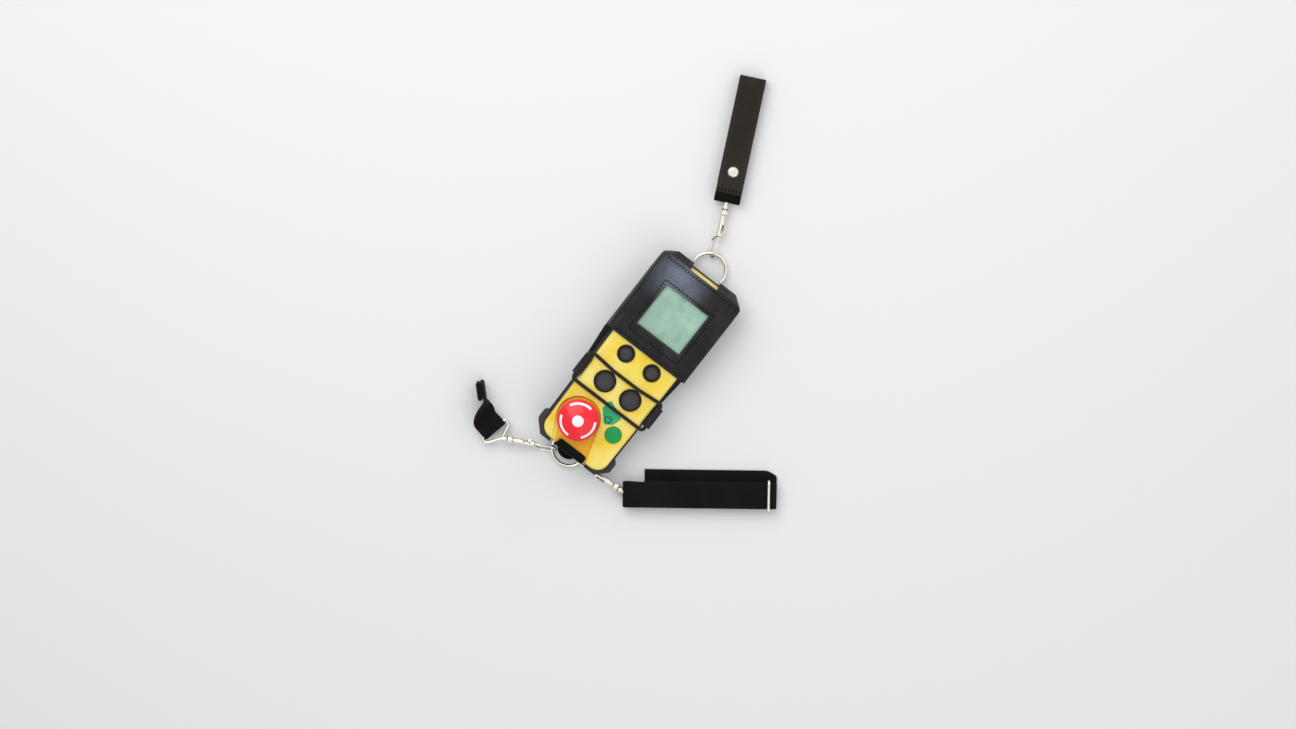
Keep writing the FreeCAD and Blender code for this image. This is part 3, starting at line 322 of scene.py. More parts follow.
def plasticLook(name, tint, rough, grain=0.5, patch=18, change=0.12, coat=0.0, paintedShadeRims=()):
    # moulded plastic: slow colour drift, a fine grain and rubbed patches; round caps at (x, y, radius),
    # mirrored across the middle, get a dark rim of painted shade
    look = Look(name, {"IOR": 1.49, "Specular IOR Level": 0.25, "Coat Weight": coat})
    drift = look.noise(patch, 2).between(0.3, 0.7)
    wearAndPaintedSheen = look.noise(patch * 0.22, 4, 0.7).between(0.5, 0.85)
    tone = look.mix(drift, (*tint, 1 - change), tint)
    tone = look.mix(wearAndPaintedSheen * 0.35, tone, (*tint, 1 + change))
    # painted shade: each round cap darkens towards its edge, where its dome turns away from the light
    for capX, capY, radius in paintedShadeRims:
        x, y, _ = look.axes()
        far = radial(abs(x) - capX, y - capY) / radius
        tone = look.mix(far.between(0.55, 1.0) * (far < 1.4) * 0.8, tone, (16, 13, 13))
    relief = look.noise(grain, 2) + 0.4 * look.noise(grain * 4, 2)
    return look.dressed(tone, rough - 0.08 * wearAndPaintedSheen + 0.1 * drift, relief, 0.03, 0.35)


shell = {
    "yellow": ((242, 212, 38), (249, 235, 138)), "deep": (246, 200, 32), "pale": (250, 236, 145),
    "paintedPadShade": ((249, 176, 22), (252, 196, 38)), "shaded": (182, 78, 14), "scuffed": (214, 170, 60),
    "endPaintedLight": (250, 238, 160), "dark": ((24, 21, 22), (44, 40, 41)), "clouds": 22, "sweeps": 60,
    "scuffs": 3, "stop": (-13.4, -74.0), "padEdge": (21.2, 22.2), "padSides": ((0.50, -34.2), (0.36, 8.4)),
    "padLevels": (34.5, 36.4, 37.2), "shadeStart": 18.5, "shadeFade": (-92, -70), "paleSide": (14, 38),
    "endHalf": 19, "endStart": 95, "sideLevels": (32.6, 33.0),
}


def shellLook():
    # yellow moulding with a dark soft-touch side; the sunk pad round the stop button is painted amber for
    # shade and red reflection, with a darker painted shadow ring by the head; the end at the mouth has a
    # painted highlight
    look = Look("yellowShell", {"IOR": 1.5, "Specular IOR Level": 0.3, "Coat Roughness": 0.2,
                                "Coat Weight": 0.15})
    x, y, z = look.axes()
    stopX, stopY = shell["stop"]
    (leftSlope, leftStart), (rightSlope, rightStart) = shell["padSides"]
    padLow, padHigh, padGone = shell["padLevels"]
    far, down = radial(x - stopX, y - stopY), stopY - y
    disc = 1 - far.between(*shell["padEdge"])
    below = (down > 0) * (x > leftSlope * down + leftStart) * (x < rightSlope * down + rightStart)
    pad = disc.most(below) * (1 - z.between(padHigh, padGone)) * (z > padLow)
    end = (abs(x) < shell["endHalf"]) * (y > shell["endStart"])
    side = (1 - z.between(*shell["sideLevels"])) * (1 - end)
    cloud = look.noise(shell["clouds"]).between(0.32, 0.68)
    sweep = look.noise(shell["sweeps"], 1).between(0.3, 0.7)
    scuff = look.noise(shell["scuffs"], 5, 0.72).between(0.58, 0.8)
    yellow = look.mix(sweep * 0.4, look.mix(cloud, *shell["yellow"]), shell["deep"])
    yellow = look.mix(x.between(*shell["paleSide"]) * 0.25, yellow, shell["pale"])
    # painted shadow: a deeper orange-red ring next to the stop head, fading towards the low end
    shaded = disc * far.between(shell["shadeStart"], shell["padEdge"][0]) * y.between(*shell["shadeFade"])
    # painted shade and painted reflection: the pad's amber stands for shade and red light thrown by the
    # stop head
    paintedPadShade = look.mix(shaded * 0.6, look.mix(cloud, *shell["paintedPadShade"]), shell["shaded"])
    face = look.mix(scuff * 0.18, look.mix(pad, yellow, paintedPadShade), shell["scuffed"])
    # painted highlight: the case's upright end at the mouth is made paler, as if it caught the light
    face = look.mix(end * 0.45, face, shell["endPaintedLight"])
    tone = look.mix(side, face, look.mix(cloud, *shell["dark"]))
    relief = look.noise(0.5, 2) + 0.5 * look.noise(9, 2)
    return look.dressed(tone, 0.36 + 0.16 * cloud - 0.08 * scuff, relief, 0.03, 0.3)


leather = {
    "base": ((13, 13, 14), (28, 28, 31)), "creased": (50, 51, 55), "wearAndPaintedSheen": (122, 131, 147),
    "pits": (8, 8, 8), "lowEnd": (4, 4, 4), "lowEndFade": (-98, -84), "pebbles": 0.95, "handling": 26,
    "creases": 7, "drawnOut": (1, 0.35, 1), "paintedSheenPatch": (-20, 89, 36, 30), "paintedSheenLevels": (36, 39),
}


def leatherLook(name, gloss):
    # pebbled hide: cell edges sink, handled tops shine and one patch of the pocket has a painted pale sheen
    look = Look(name, {"IOR": 1.5, "Specular IOR Level": gloss})
    x, y, z = look.axes()
    pebble = look.cells(leather["pebbles"]).between(0.75, 0.25)
    handled = look.noise(leather["handling"]).between(0.35, 0.7)
    crease = look.noise(leather["creases"], 4, 0.6, leather["drawnOut"]).between(0.5, 0.66)
    # painted sheen: a pale bluish patch near the top of the pocket's face stands for a lamp's reflection
    placeX, placeY, sizeX, sizeY = leather["paintedSheenPatch"]
    away = radial((x - placeX) / sizeX, (y - placeY) / sizeY)
    wearAndPaintedSheen = (1 - away.between(0.0, 1.15)) * z.between(*leather["paintedSheenLevels"]) * (0.6 + 0.4 * handled)
    base = look.mix(crease * 0.3, look.mix(handled, *leather["base"]), leather["creased"])
    base = look.mix(wearAndPaintedSheen, base, leather["wearAndPaintedSheen"])
    base = look.mix(0.85 - 0.85 * y.between(*leather["lowEndFade"]), base, leather["lowEnd"])
    tone = look.mix((1 - pebble) * 0.4, base, leather["pits"])
    rough = 0.6 - 0.12 * handled - 0.12 * wearAndPaintedSheen + 0.1 * (1 - pebble)
    return look.dressed(tone, rough, pebble + 0.35 * look.noise(0.35) + 0.6 * crease, 0.1, 0.55)


def edgeLook():
    # cut and dyed edge of the hide, fibrous and dull
    look = Look("leatherEdge", {"IOR": 1.45, "Specular IOR Level": 0.3})
    fibre = look.noise(0.5, 4, 0.7)
    tone = look.mix(fibre.between(0.35, 0.7), (38, 37, 39), (92, 90, 92))
    return look.dressed(tone, 0.7 + 0.15 * fibre, fibre, 0.08, 0.6)


def threadLook():
    # waxed thread with a loose twist
    look = Look("waxedThread", {"IOR": 1.5, "Specular IOR Level": 0.15})
    twist = look.noise(0.45, 2).between(0.3, 0.7)
    return look.dressed(look.mix(twist, (5, 5, 6), (17, 17, 19)), 0.5 + 0.2 * twist, twist, 0.08, 0.6)


def wave(value, length):
    # sine that repeats after the given length
    return (value * (2 * math.pi / length)).sine()


weave = {
    "weft": 1.5, "warp": 1.9, "rib": 3.0, "edgeCords": 1.3, "middles": (12.9, 39.3), "selvedge": (9.3, 9.7),
    "fuzz": 0.4, "fading": 30, "fadedLift": 10, "endPaintedLight": (5, 4, 4), "endFade": 0.5,
}


def webbingLook(name, dark, light, end=None):
    # plain weave read from the strip's own UV, across and along; a strap given as end gets painted shade at
    # its fold
    look = Look(name, {"IOR": 1.45, "Specular IOR Level": 0.05, "Sheen Weight": 0.03,
                       "Sheen Roughness": 0.5})
    across, along, _ = look.axes("UV")
    fuzz = look.noise(weave["fuzz"], 4, 0.7)
    faded = look.noise(weave["fading"]).between(0.35, 0.7)
    height = (wave(along, weave["weft"]) * wave(across, weave["warp"])).between(-1.0, 1.0) * 0.7
    height = height + 0.3 * abs(wave(along, weave["rib"]))
    face, back = [abs(across - middle) for middle in weave["middles"]]
    selvedge = face.least(back).between(*weave["selvedge"])
    height = height * (1 - selvedge) + (0.4 + 0.6 * abs(wave(across, weave["edgeCords"]))) * selvedge
    shade = look.mix(height * 0.75 + 0.25 * fuzz, dark, light)
    shade = look.mix(faded * 0.3, shade, [value + weave["fadedLift"] for value in light])
    # painted shade: the doubled end, where the strap bends away round the bar, is darkened in colour
    if end:
        x, y, _ = look.axes()
        turn = math.radians(end["angle"])
        reach = (x - end["place"][0]) * math.cos(turn) + (y - end["place"][1]) * math.sin(turn)
        lit = reach.between(end["paintedShadeTo"], end["paintedShadeTo"] + weave["endFade"])
        shade = look.mix(0.85 - 0.85 * lit, shade, weave["endPaintedLight"])
    return look.dressed(shade, 0.72 + 0.16 * fuzz, height + 0.3 * fuzz, 0.22, 0.7)


def cordLook(pitch=2.2, slant=1.83):
    # braided sleeve: two families of strands cross at a slant
    look = Look("elasticBraid", {"IOR": 1.45, "Specular IOR Level": 0.2, "Sheen Weight": 0.15})
    across, along, _ = look.axes("UV")
    first, second = [wave(along / pitch + across / lean, 1) for lean in (slant, -slant)]
    braid = first.most(second).between(-0.6, 1.0)
    fuzz = look.noise(0.4, 3, 0.7)
    tone = look.mix(braid, (18, 13, 11), (48, 36, 30))
    return look.dressed(tone, 0.62 + 0.2 * fuzz, braid + 0.3 * fuzz, 0.2, 0.7)


def nickelLook(name, tint, rough):
    # plated wire: slow haze, fine rubbing scratches and a few dull spots
    look = Look(name, {"Metallic": 1.0, "IOR": 1.5})
    haze = look.noise(4).between(0.35, 0.7)
    rub = look.noise(0.9, 4, 0.7, (1, 0.25, 1)).between(0.45, 0.75)
    spot = look.noise(1.6, 2).between(0.66, 0.74)
    shine = look.mix(haze, tint, [int(value * 0.9) for value in tint])
    tone = look.mix(spot * 0.5, shine, (150, 138, 118))
    return look.dressed(tone, rough + 0.12 * haze + 0.08 * rub + 0.2 * spot, rub, 0.012, 0.4)


glass = {
    "tones": ((130, 168, 150), (154, 192, 170)), "streaked": (172, 206, 185), "dotted": (96, 132, 112),
    "rimTone": (96, 124, 110), "dimTone": (116, 148, 134), "bandTone": (16, 20, 18), "clouds": 14,
    "streaks": 9, "dots": 0.7, "middle": 56.4, "half": (25.0, 23.0), "rimFade": (-4, 1),
    "dimFade": (20, 62), "bandRight": (24.3, 24.8), "bandLeft": (-25.2, -24.7), "bandLow": (33.2, 33.7),
}


def displayLook():
    # grey-green liquid crystal under a window: uneven backing, faint dot rows, darker at its edge
    look = Look("displayGlass", {"IOR": 1.5, "Coat Weight": 0.6, "Coat Roughness": 0.08})
    x, y, _ = look.axes()
    cloud = look.noise(glass["clouds"], 4, 0.6).between(0.3, 0.7)
    streak = look.noise(glass["streaks"], 3, 0.6, (1, 0.35, 1)).between(0.35, 0.7)
    dots = (wave(x, glass["dots"]) * wave(y, glass["dots"])).between(0.2, 1.0)
    halfX, halfY = glass["half"]
    rim = (abs(x) - halfX).most(abs(y - glass["middle"]) - halfY).between(*glass["rimFade"])
    inside = x.between(*glass["bandLeft"]).least(y.between(*glass["bandLow"]))
    inside = inside.least(1 - x.between(*glass["bandRight"]))
    tone = look.mix(streak * 0.5, look.mix(cloud, *glass["tones"]), glass["streaked"])
    tone = look.mix(dots * 0.06, tone, glass["dotted"])
    tone = look.mix(rim * 0.35, tone, glass["rimTone"])
    tone = look.mix(0.4 - 0.4 * (x + y).between(*glass["dimFade"]), tone, glass["dimTone"])
    return look.dressed(look.mix(inside, glass["bandTone"], tone), 0.3 + 0.15 * cloud)


legend = {
    "field": ((30, 160, 98), (54, 184, 120)), "marked": (6, 84, 54), "place": (10.0, -57.7), "ring": 3.1,
    "ringHalf": (0.6, 0.8), "gapHalf": 1.1, "barHalf": (0.45, 0.65), "barFrom": 0.2, "barTo": 4.2,
}


def legendLook():
    # green inlay with a plain power mark: an open ring and a bar through its gap
    look = Look("greenLegend", {"IOR": 1.5, "Specular IOR Level": 0.3})
    x, y, _ = look.axes()
    markX, markY = x - legend["place"][0], y - legend["place"][1]
    ring = 1 - abs(radial(markX, markY) - legend["ring"]).between(*legend["ringHalf"])
    gap = (abs(markX) < legend["gapHalf"]) * (markY > 0)
    bar = 1 - abs(markX).between(*legend["barHalf"])
    bar = bar * (markY > legend["barFrom"]) * (markY < legend["barTo"])
    cloud = look.noise(7).between(0.3, 0.7)
    tone = look.mix((ring * (1 - gap)).most(bar), look.mix(cloud, *legend["field"]), legend["marked"])
    return look.dressed(tone, 0.4 + 0.1 * cloud, look.noise(0.5, 2), 0.02, 0.3)


buttons = [size + "_button_" + side for size in ("small", "big") for side in ("left", "right")]
looks = {
    "dome": plasticLook("clearRubber", (190, 188, 178), 0.5, patch=5),
    "steel": nickelLook("screwSteel", (186, 186, 188), 0.3),
    "leather": leatherLook("blackLeather", 0.22),
    "tongue": leatherLook("tongueLeather", 0.07),
    "edge": edgeLook(),
    "thread": threadLook(),
    "cord": cordLook(),
    "blackStrap": webbingLook("blackWebbing", (6, 5, 5), (30, 26, 27)),
}
nodeLooks = [
    (shellLook(), ["front_case"]),
    (plasticLook("darkShell", (25, 24, 25), 0.5), ["rear_case", "battery_cover"]),
    (plasticLook("bumperRubber", (60, 56, 54), 0.56, grain=0.7), ["corner_bumpers", "case_gasket"]),
    (plasticLook("buttonCap", (58, 56, 56), 0.46, grain=0.6, patch=6,
                 paintedShadeRims=((15.4, 3.2, 6.8), (15.2, -30.0, 9.2))), buttons),
    (plasticLook("buttonCollar", (26, 18, 15), 0.34, patch=6), [button + "_collar" for button in buttons]),
    (plasticLook("startGreen", (10, 154, 78), 0.3, patch=7, coat=0.1), ["start_button"]),
    (plasticLook("stopRed", (250, 24, 46), 0.27, patch=14, change=0.07, coat=0.35), ["stop_head"]),
    (plasticLook("stopMark", (252, 250, 249), 0.4, change=0.04), ["stop_markings"]),
    (plasticLook("innerBlack", (24, 24, 25), 0.45),
     ["stop_plunger", "stop_bush", "stop_contact_block", "stop_nut", "display_module"]),
    (plasticLook("boardGreen", (28, 96, 62), 0.4, patch=5), ["circuit_board"]),
    (plasticLook("packBlue", (44, 78, 140), 0.35), ["battery_pack"]),
    (plasticLook("ceramicStrip", (222, 216, 200), 0.5, patch=4), ["antenna_strip"]),
    (looks["steel"], ["case_screws"]),
    (nickelLook("nickel", (224, 218, 206), 0.2),
     ["top_ring", "bottom_ring", "strap_rivet", "strap_slider"]
     + [end + part for end in ("top", "left", "right")
        for part in ("_hook_body", "_hook_bolt", "_swivel_eye")]),
    (displayLook(), ["display_lens"]),
    (legendLook(), ["start_legend"]),
]
for look, nodeNames in nodeLooks:
    for nodeName in nodeNames:
        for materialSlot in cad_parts[nodeName].material_slots:
            materialSlot.material = look.material
print("finishes set on", sum(len(nodeNames) for _, nodeNames in nodeLooks), "nodes")


def thicken(piece, settings):
    # a sheet gets its wall, inwards from the modelled side, and its cut edges are eased
    wall = piece.modifiers.new("wall", "SOLIDIFY")
    wall.thickness = settings["wall"] * mm
    wall.offset = -1
    wall.use_even_offset = True
    wall.material_offset_rim = 1
    piece.data.materials.append(looks["edge"].material)
    ease = piece.modifiers.new("ease", "BEVEL")
    ease.width = settings["ease"] * mm
    ease.segments = settings["easeSteps"]
    ease.limit_method = "ANGLE"
    ease.angle_limit = math.radians(settings["easeAngle"])


def gridLines(start, end, step, *exact, tooNear=0.4):
    # even lines from start to end, with the exact lines put in for those within tooNear steps of them
    lines = np.linspace(start, end, int(round((end - start) / step)) + 1)
    near = np.min(np.abs(lines[:, None] - np.array(exact)), axis=1) < step * tooNear
    lines = lines[~near | np.isin(lines, (start, end))]
    return np.unique(np.concatenate([lines, exact]))


def frameDistance(x, y, halfX, lowY, highY):
    # distance to the outline of an upright rectangle
    outsideX = np.abs(x) - halfX
    outsideY = np.abs(y - (lowY + highY) / 2) - (highY - lowY) / 2
    inside = np.minimum(np.maximum(outsideX, outsideY), 0)
    return np.abs(np.hypot(np.maximum(outsideX, 0), np.maximum(outsideY, 0)) + inside)


hide = {"body": "transmitter", "slot": "black_leather", "easeSteps": 2, "easeAngle": 40}
stitch = {
    **hide, "pitch": 3.3, "length": 2.4, "thick": 0.75, "slant": 30.0, "rings": 5, "sides": 6,
    "proud": -0.02, "flush": -0.68, "narrowing": 0.96, "dip": 0.35,
}


def stitchRow(name, line, normal, seat="proud", body=stitch["body"]):
    # spindles of thread at an even pitch along a line, each of rings that narrow and dip to its ends
    spots = evenPath(line, stitch["pitch"])
    ahead = unit(np.gradient(spots, axis=0))
    normal = unit(np.broadcast_to(normal, spots.shape))
    slant = math.radians(stitch["slant"])
    ahead = ahead * math.cos(slant) + unit(np.cross(normal, ahead)) * math.sin(slant)
    across = unit(np.cross(normal, ahead))
    rings, count = stitch["rings"], stitch["sides"]
    along = np.linspace(-1, 1, rings)[:, None]
    girth = stitch["thick"] * np.sqrt(1 - stitch["narrowing"] * along ** 2)
    local = np.zeros((rings, count, 3))
    local[..., 0] = along * stitch["length"] / 2
    local[..., 1:] = girth[:, None] * circleOutline(1.0, count)
    local[..., 2] += stitch[seat] - stitch["dip"] * stitch["thick"] * along ** 2
    turned = np.stack([ahead, across, normal], axis=1)
    points = spots[:, None, None] + np.einsum("rsk,nkd->nrsd", local, turned)
    quads, _, _ = gridFaces(rings, count, wrapColumns=True)
    first = np.arange(count)
    start = np.arange(len(spots))[:, None] * rings * count
    faces = (quads + start[:, None]).reshape(-1, 4).tolist()
    faces += (first[::-1] + start).tolist() + (first + (rings - 1) * count + start).tolist()
    meshPiece(name, points, faces, looks["thread"], {**stitch, "body": body})


pocket = {
    **hide, "node": "holster_pocket", "wall": 2.3, "ease": 0.5, "step": 1.1,
    "low": 14.0, "foot": 4.6, "half": 46.0, "high": 40.2, "corner": 6.0, "flat": 30.0,
    "cornerShare": 0.55, "leastTall": 0.4, "columns": (12, 7, 21), "rowGap": 0.3,
    "endHigh": (103.99, 40.2), "endLow": (110.3, 21.5), "bend": 3.2, "runIn": 4.0, "footTurn": 93.3,
    "footRise": 16.9 / 17.0, "shoulder": 102.0, "narrowing": 15.5 / 11.0, "shoulderSoft": 0.8,
    "window": (26.0, 31.8, 79.6), "mouth": (16.0, 104.0), "frameSeam": (29.0, 24.5, 82.7),
    "crossSeams": {"topStitches": 101.3, "lowStitches": 17.4}, "crossHalf": 41, "wallSeam": (17, 90),
    "wallSeamLevel": 8.2, "seamLift": 0.1, "dent": 0.22, "dentWidth": 1.1, "puff": 0.35,
    "puffWaves": ((13, 1.1), (17, 0.4)), "bulge": 0.5, "bulgeTall": 34, "bulgeFade": 20,
}


def pocketRows():
    # (y, z) of the pocket's middle line: along the face, over the end and down its slope
    start, high = pocket["endHigh"][0] - pocket["runIn"], pocket["high"]
    flat = gridLines(pocket["low"], pocket["mouth"][1], pocket["step"], *pocket["window"][1:])
    flat = flat[flat < start - pocket["rowGap"]]
    face = np.stack([flat, np.full_like(flat, high)], axis=1)
    corners = [(start, high), pocket["endHigh"], pocket["endLow"]]
    return np.vstack([face, bentPath(corners, [0, pocket["bend"], 0], pocket["step"])])


def pocketSurface():
    # each row is an upside-down U: wall, quarter round, top, quarter round, wall; the end rows narrow
    y, top = pocketRows().T
    past = pocket["shoulderSoft"] * np.logaddexp(0, (y - pocket["shoulder"]) / pocket["shoulderSoft"])
    half = pocket["half"] - pocket["narrowing"] * past
    foot = pocket["foot"] + pocket["footRise"] * np.maximum(y - pocket["footTurn"], 0)
    tall = np.maximum(top - foot, pocket["leastTall"])
    corner = np.minimum(pocket["corner"], pocket["cornerShare"] * tall)[:, None]
    flat = pocket["flat"]
    edges = [side * opening[0] for side in (-1, 1) for opening in (pocket["window"], pocket["mouth"])]
    middle = gridLines(-flat, flat, pocket["step"], *edges)
    outer, turn, drop = [np.linspace(0, 1, count + 1)[1:] for count in pocket["columns"]]
    turn = turn * math.pi / 2
    inner, low = half[:, None] - corner, top[:, None] - corner
    sideX = [flat + (inner - flat) * outer, inner + corner * np.sin(turn), spread(half, len(drop))]
    sideZ = [spread(top, len(outer)), low + corner * np.cos(turn), low + (foot[:, None] - low) * drop]
    sideX, sideZ = np.hstack(sideX), np.hstack(sideZ)
    x = np.hstack([-sideX[:, ::-1], np.tile(middle, (len(y), 1)), sideX])
    z = np.hstack([sideZ[:, ::-1], spread(top, len(middle)), sideZ])
    return np.stack([x, spread(y, x.shape[1]), z], axis=2)


def buildPocket():
    # the face is puffed up between the dents that its seams pull in, and the walls bulge
    points = pocketSurface()
    x, y, z = np.moveaxis(points, 2, 0)  # views, which follow the points
    onTop = np.clip((z - pocket["high"] + pocket["corner"]) / pocket["corner"], 0, 1)
    waveX, waveY = [np.sin(axis / size + start) for axis, (size, start) in zip((x, y), pocket["puffWaves"])]
    rise = pocket["puff"] * (0.5 + 0.5 * waveX * waveY)
    crossings = [y - seam for seam in pocket["crossSeams"].values()]
    for distance in (frameDistance(x, y, *pocket["frameSeam"]), *crossings):
        rise -= pocket["dent"] * np.exp(-(distance / pocket["dentWidth"]) ** 2)
    z += rise * onTop
    tall = np.clip((z - pocket["foot"]) / pocket["bulgeTall"], 0, 1)
    bulge = pocket["bulge"] * (1 - onTop) * np.sin(tall * math.pi)
    x += np.sign(x) * bulge * np.clip((pocket["shoulder"] - y) / pocket["bulgeFade"], 0, 1)
    cellX, cellY = [(axis[1:, 1:] + axis[:-1, :-1]) / 2 for axis in (x, y)]
    windowHalf, windowLow, windowHigh = pocket["window"]
    mouthHalf, mouthLow = pocket["mouth"]
    inWindow = (np.abs(cellX) < windowHalf) & (cellY > windowLow) & (cellY < windowHigh)
    inMouth = (np.abs(cellX) < mouthHalf) & (cellY > mouthLow)
    piece = gridPiece("pocketHide", points, looks["leather"], pocket, keep=~(inWindow | inMouth))
    thicken(piece, pocket)
    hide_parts(pocket["node"])
    return points


def sewPocket(points):
    # one row of stitches round the window, two across the face and one along each wall
    lift = pocket["seamLift"]
    halfX, lowY, highY = pocket["frameSeam"]
    level = pocket["high"] + 0.5 * pocket["puff"]
    corners = [(0, lowY), (halfX, lowY), (halfX, highY), (-halfX, highY), (-halfX, lowY), (0, lowY)]
    stitchRow("windowStitches", [(*corner, level) for corner in corners], upward)
    for name, seam in pocket["crossSeams"].items():
        row = points[np.argmin(np.abs(points[:, points.shape[1] // 2, 1] - seam))]
        stitchRow(name, row[np.abs(row[:, 0]) <= pocket["crossHalf"]] + (0, 0, lift), upward)
    for name, side in sides.items():
        seam = [(side * (pocket["half"] + lift), y, pocket["wallSeamLevel"]) for y in pocket["wallSeam"]]
        stitchRow(name.lower() + "WallStitches", seam, (side, 0, 0), "flush")


backPanel = {
    **hide, "node": "holster_back", "wall": 2.4, "ease": 0.5, "top": 4.6,
    "outline": [(-88, 34.5), (-47, 34.5), (-41, 43.4), (-19, 43.4), (8, 46), (84, 46), (93.3, 36)],
    "step": 1.5, "columns": 41, "seamInset": 3.2, "seamSkips": 3,
}


def buildBackPanel():
    # rows across the panel from edge to edge, as wide as its outline is at each place
    places, halves = np.array(backPanel["outline"], dtype=float).T
    y = gridLines(places[0], places[-1], backPanel["step"], *places[1:-1])
    half = np.interp(y, places, halves)
    x = half[:, None] * np.linspace(-1, 1, backPanel["columns"])
    points = np.stack([x, spread(y, backPanel["columns"]), np.full_like(x, backPanel["top"])], axis=2)
    piece = gridPiece("backPanelHide", points, looks["leather"], backPanel)
    thicken(piece, backPanel)
    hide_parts(backPanel["node"])
    low, skips = np.full_like(y, backPanel["top"] - backPanel["wall"]), backPanel["seamSkips"]
    seam = np.stack([half - backPanel["seamInset"], y, low], axis=1)[skips:-skips]
    for name, side in sides.items():
        stitchRow(name.lower() + "BackStitches", seam * (side, 1, 1), downward)


spine = {
    **hide, "node": "spine_strap", "width": 32.0, "loopWidth": 26.0, "thick": 2.1, "corner": 0.5,
    "level": 1.1, "bars": (-103.5, 101.6), "barLevel": 5.3, "round": 2.9, "wrap": 222, "wrapSteps": 26,
    "tail": 8.0, "tuck": 3.4, "tuckShare": 0.8, "taper": 5.0, "step": 0.8, "seamInset": 3.5, "seamEnds": 14,
}


def barTurn(place, sign):
    # (y, z) points at one end: off the flat run, round the far side of the bar and down to the tucked tail
    tail, radius, level = spine["tail"], spine["round"], spine["barLevel"]
    run = (-sign * tail, spine["level"] - level)
    base = math.atan2(run[1], run[0]) + sign * math.acos(radius / math.hypot(*run))
    angles = base + sign * np.linspace(0, math.radians(spine["wrap"]), spine["wrapSteps"])
    start = (place - sign * tail, spine["level"])
    end = (place - sign * tail * spine["tuckShare"], spine["tuck"])
    return np.vstack([[start], onArc(angles, radius, (place, level)), [end]])


def buildSpine():
    # one strip: off the lower bar, along the back and round the upper bar, narrower in its loops
    low, high = spine["bars"]
    line = evenPath(np.vstack([barTurn(low, -1)[::-1], barTurn(high, 1)]), spine["step"])
    reach = np.minimum(line[:, 0] - low, high - line[:, 0]) - spine["tail"]
    share = np.clip(reach / spine["taper"] + 0.5, 0, 1)
    widen = (spine["loopWidth"] + (spine["width"] - spine["loopWidth"]) * share) / spine["width"]
    outline = flatOutline(spine["width"], spine["thick"], spine["corner"])
    piece = stripPiece("spineHide", onMiddle(line), (-1, 0, 0), outline, looks["tongue"], spine, widen)
    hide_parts(spine["node"])
    for name, side in sides.items():
        x = side * (spine["width"] / 2 - spine["seamInset"])
        seam = [(x, low + spine["seamEnds"], 0), (x, high - spine["seamEnds"], 0)]
        stitchRow(name.lower() + "SpineStitches", seam, downward, "flush")


tab = {
    **hide, "node": "spine_strap", "centre": (0.0, -107.5), "radius": 11.0, "hub": 0.5, "low": 0.05,
    "high": 2.15, "rimSteps": 9, "sides": 72,
}


def buildTab():
    # a disc with a rounded rim
    half = (tab["high"] - tab["low"]) / 2
    bend = np.linspace(-math.pi / 2, math.pi / 2, tab["rimSteps"])
    rim = onArc(bend, half, (tab["radius"] - half, tab["low"] + half))
    line = np.vstack([[(tab["hub"], tab["low"])], rim, [(tab["hub"], tab["high"])]])
    piece = turnedPiece("tabDiscHide", line, tab["centre"], tab["sides"], looks["tongue"], tab)
    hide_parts(tab["node"])


tongue = {
    **hide, "node": "bottom_tongue", "width": 32.0, "thick": 2.3, "corner": 0.7, "tipRound": 3.0,
    "tipCut": 0.95, "step": 0.7,
    "line": [(-88, 3.4), (-92.6, 3.4), (-109, 20.1), (-109, 21.6), (-106.3, 39), (-99.2, 39)],
    "bends": [0, 3, 2, 2, 1.6, 0],
}


def buildTongue():
    # a strip that follows the end of the case, its tip rounded off
    path = onMiddle(bentPath(tongue["line"], tongue["bends"], tongue["step"]))
    along = lengthAlong(path)
    tip = np.clip(1 - (along[-1] - along) / tongue["tipRound"], 0, 1)
    widen = 1 - (1 - np.sqrt(1 - tip ** 2 * tongue["tipCut"])) * 2 * tongue["tipRound"] / tongue["width"]
    outline = flatOutline(tongue["width"], tongue["thick"], tongue["corner"])
    piece = stripPiece("tongueHide", path, (1, 0, 0), outline, looks["tongue"], tongue, widen)
    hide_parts(tongue["node"])


wing = {
    **hide, "x": 42.2, "y": -30.0, "width": 22.0, "thick": 1.9, "corner": 0.6, "foot": 4.7, "kink": 32.5,
    "kinkBend": 9, "cordLevel": 39.55, "round": 3.05, "hem": (-20, 205, 30), "tail": (-1.7, -6.5),
    "step": 0.6, "seamOut": 1.1, "seamHalf": 9, "seamLevel": 33.4,
}


def buildWings():
    # a tab that rises beside the case and turns over the cord, back onto itself
    x, y = wing["x"], wing["y"]
    cord = np.array([x, wing["cordLevel"]])
    hem = onArc(np.radians(np.linspace(*wing["hem"])), wing["round"], cord)
    rise = bentPath([(x, wing["foot"]), (x, wing["kink"]), hem[0]], [0, wing["kinkBend"], 0], wing["step"])
    line = evenPath(np.vstack([rise, hem, [cord + wing["tail"]]]), wing["step"])
    outline = flatOutline(wing["width"], wing["thick"], wing["corner"])
    for name, side in sides.items():
        path = np.insert(line * (side, 1), 1, y, axis=1)
        piece = stripPiece("wingHide" + name, path, (0, side, 0), outline, looks["leather"], wing)
        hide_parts("wing_" + name.lower())
        out, level = side * (x + wing["seamOut"]), wing["seamLevel"]
        seam = [(out, y + end * wing["seamHalf"], level) for end in (-1, 1)]
        stitchRow("wingStitches" + name, seam, (side, 0, 0))


elastic = {
    "body": "transmitter", "slot": "elastic_cord", "node": "elastic_loop", "radius": 1.75, "level": 39.55,
    "corners": [(0, -46.2), (42.2, -46.2), (42.2, -14.6), (15, -17.1), (-15, -17.1), (-42.2, -14.6),
                (-42.2, -46.2), (0, -46.2)],
    "bends": [0, 3.6, 3.6, 60, 60, 3.6, 3.6, 0], "step": 0.9, "sides": 14,
}


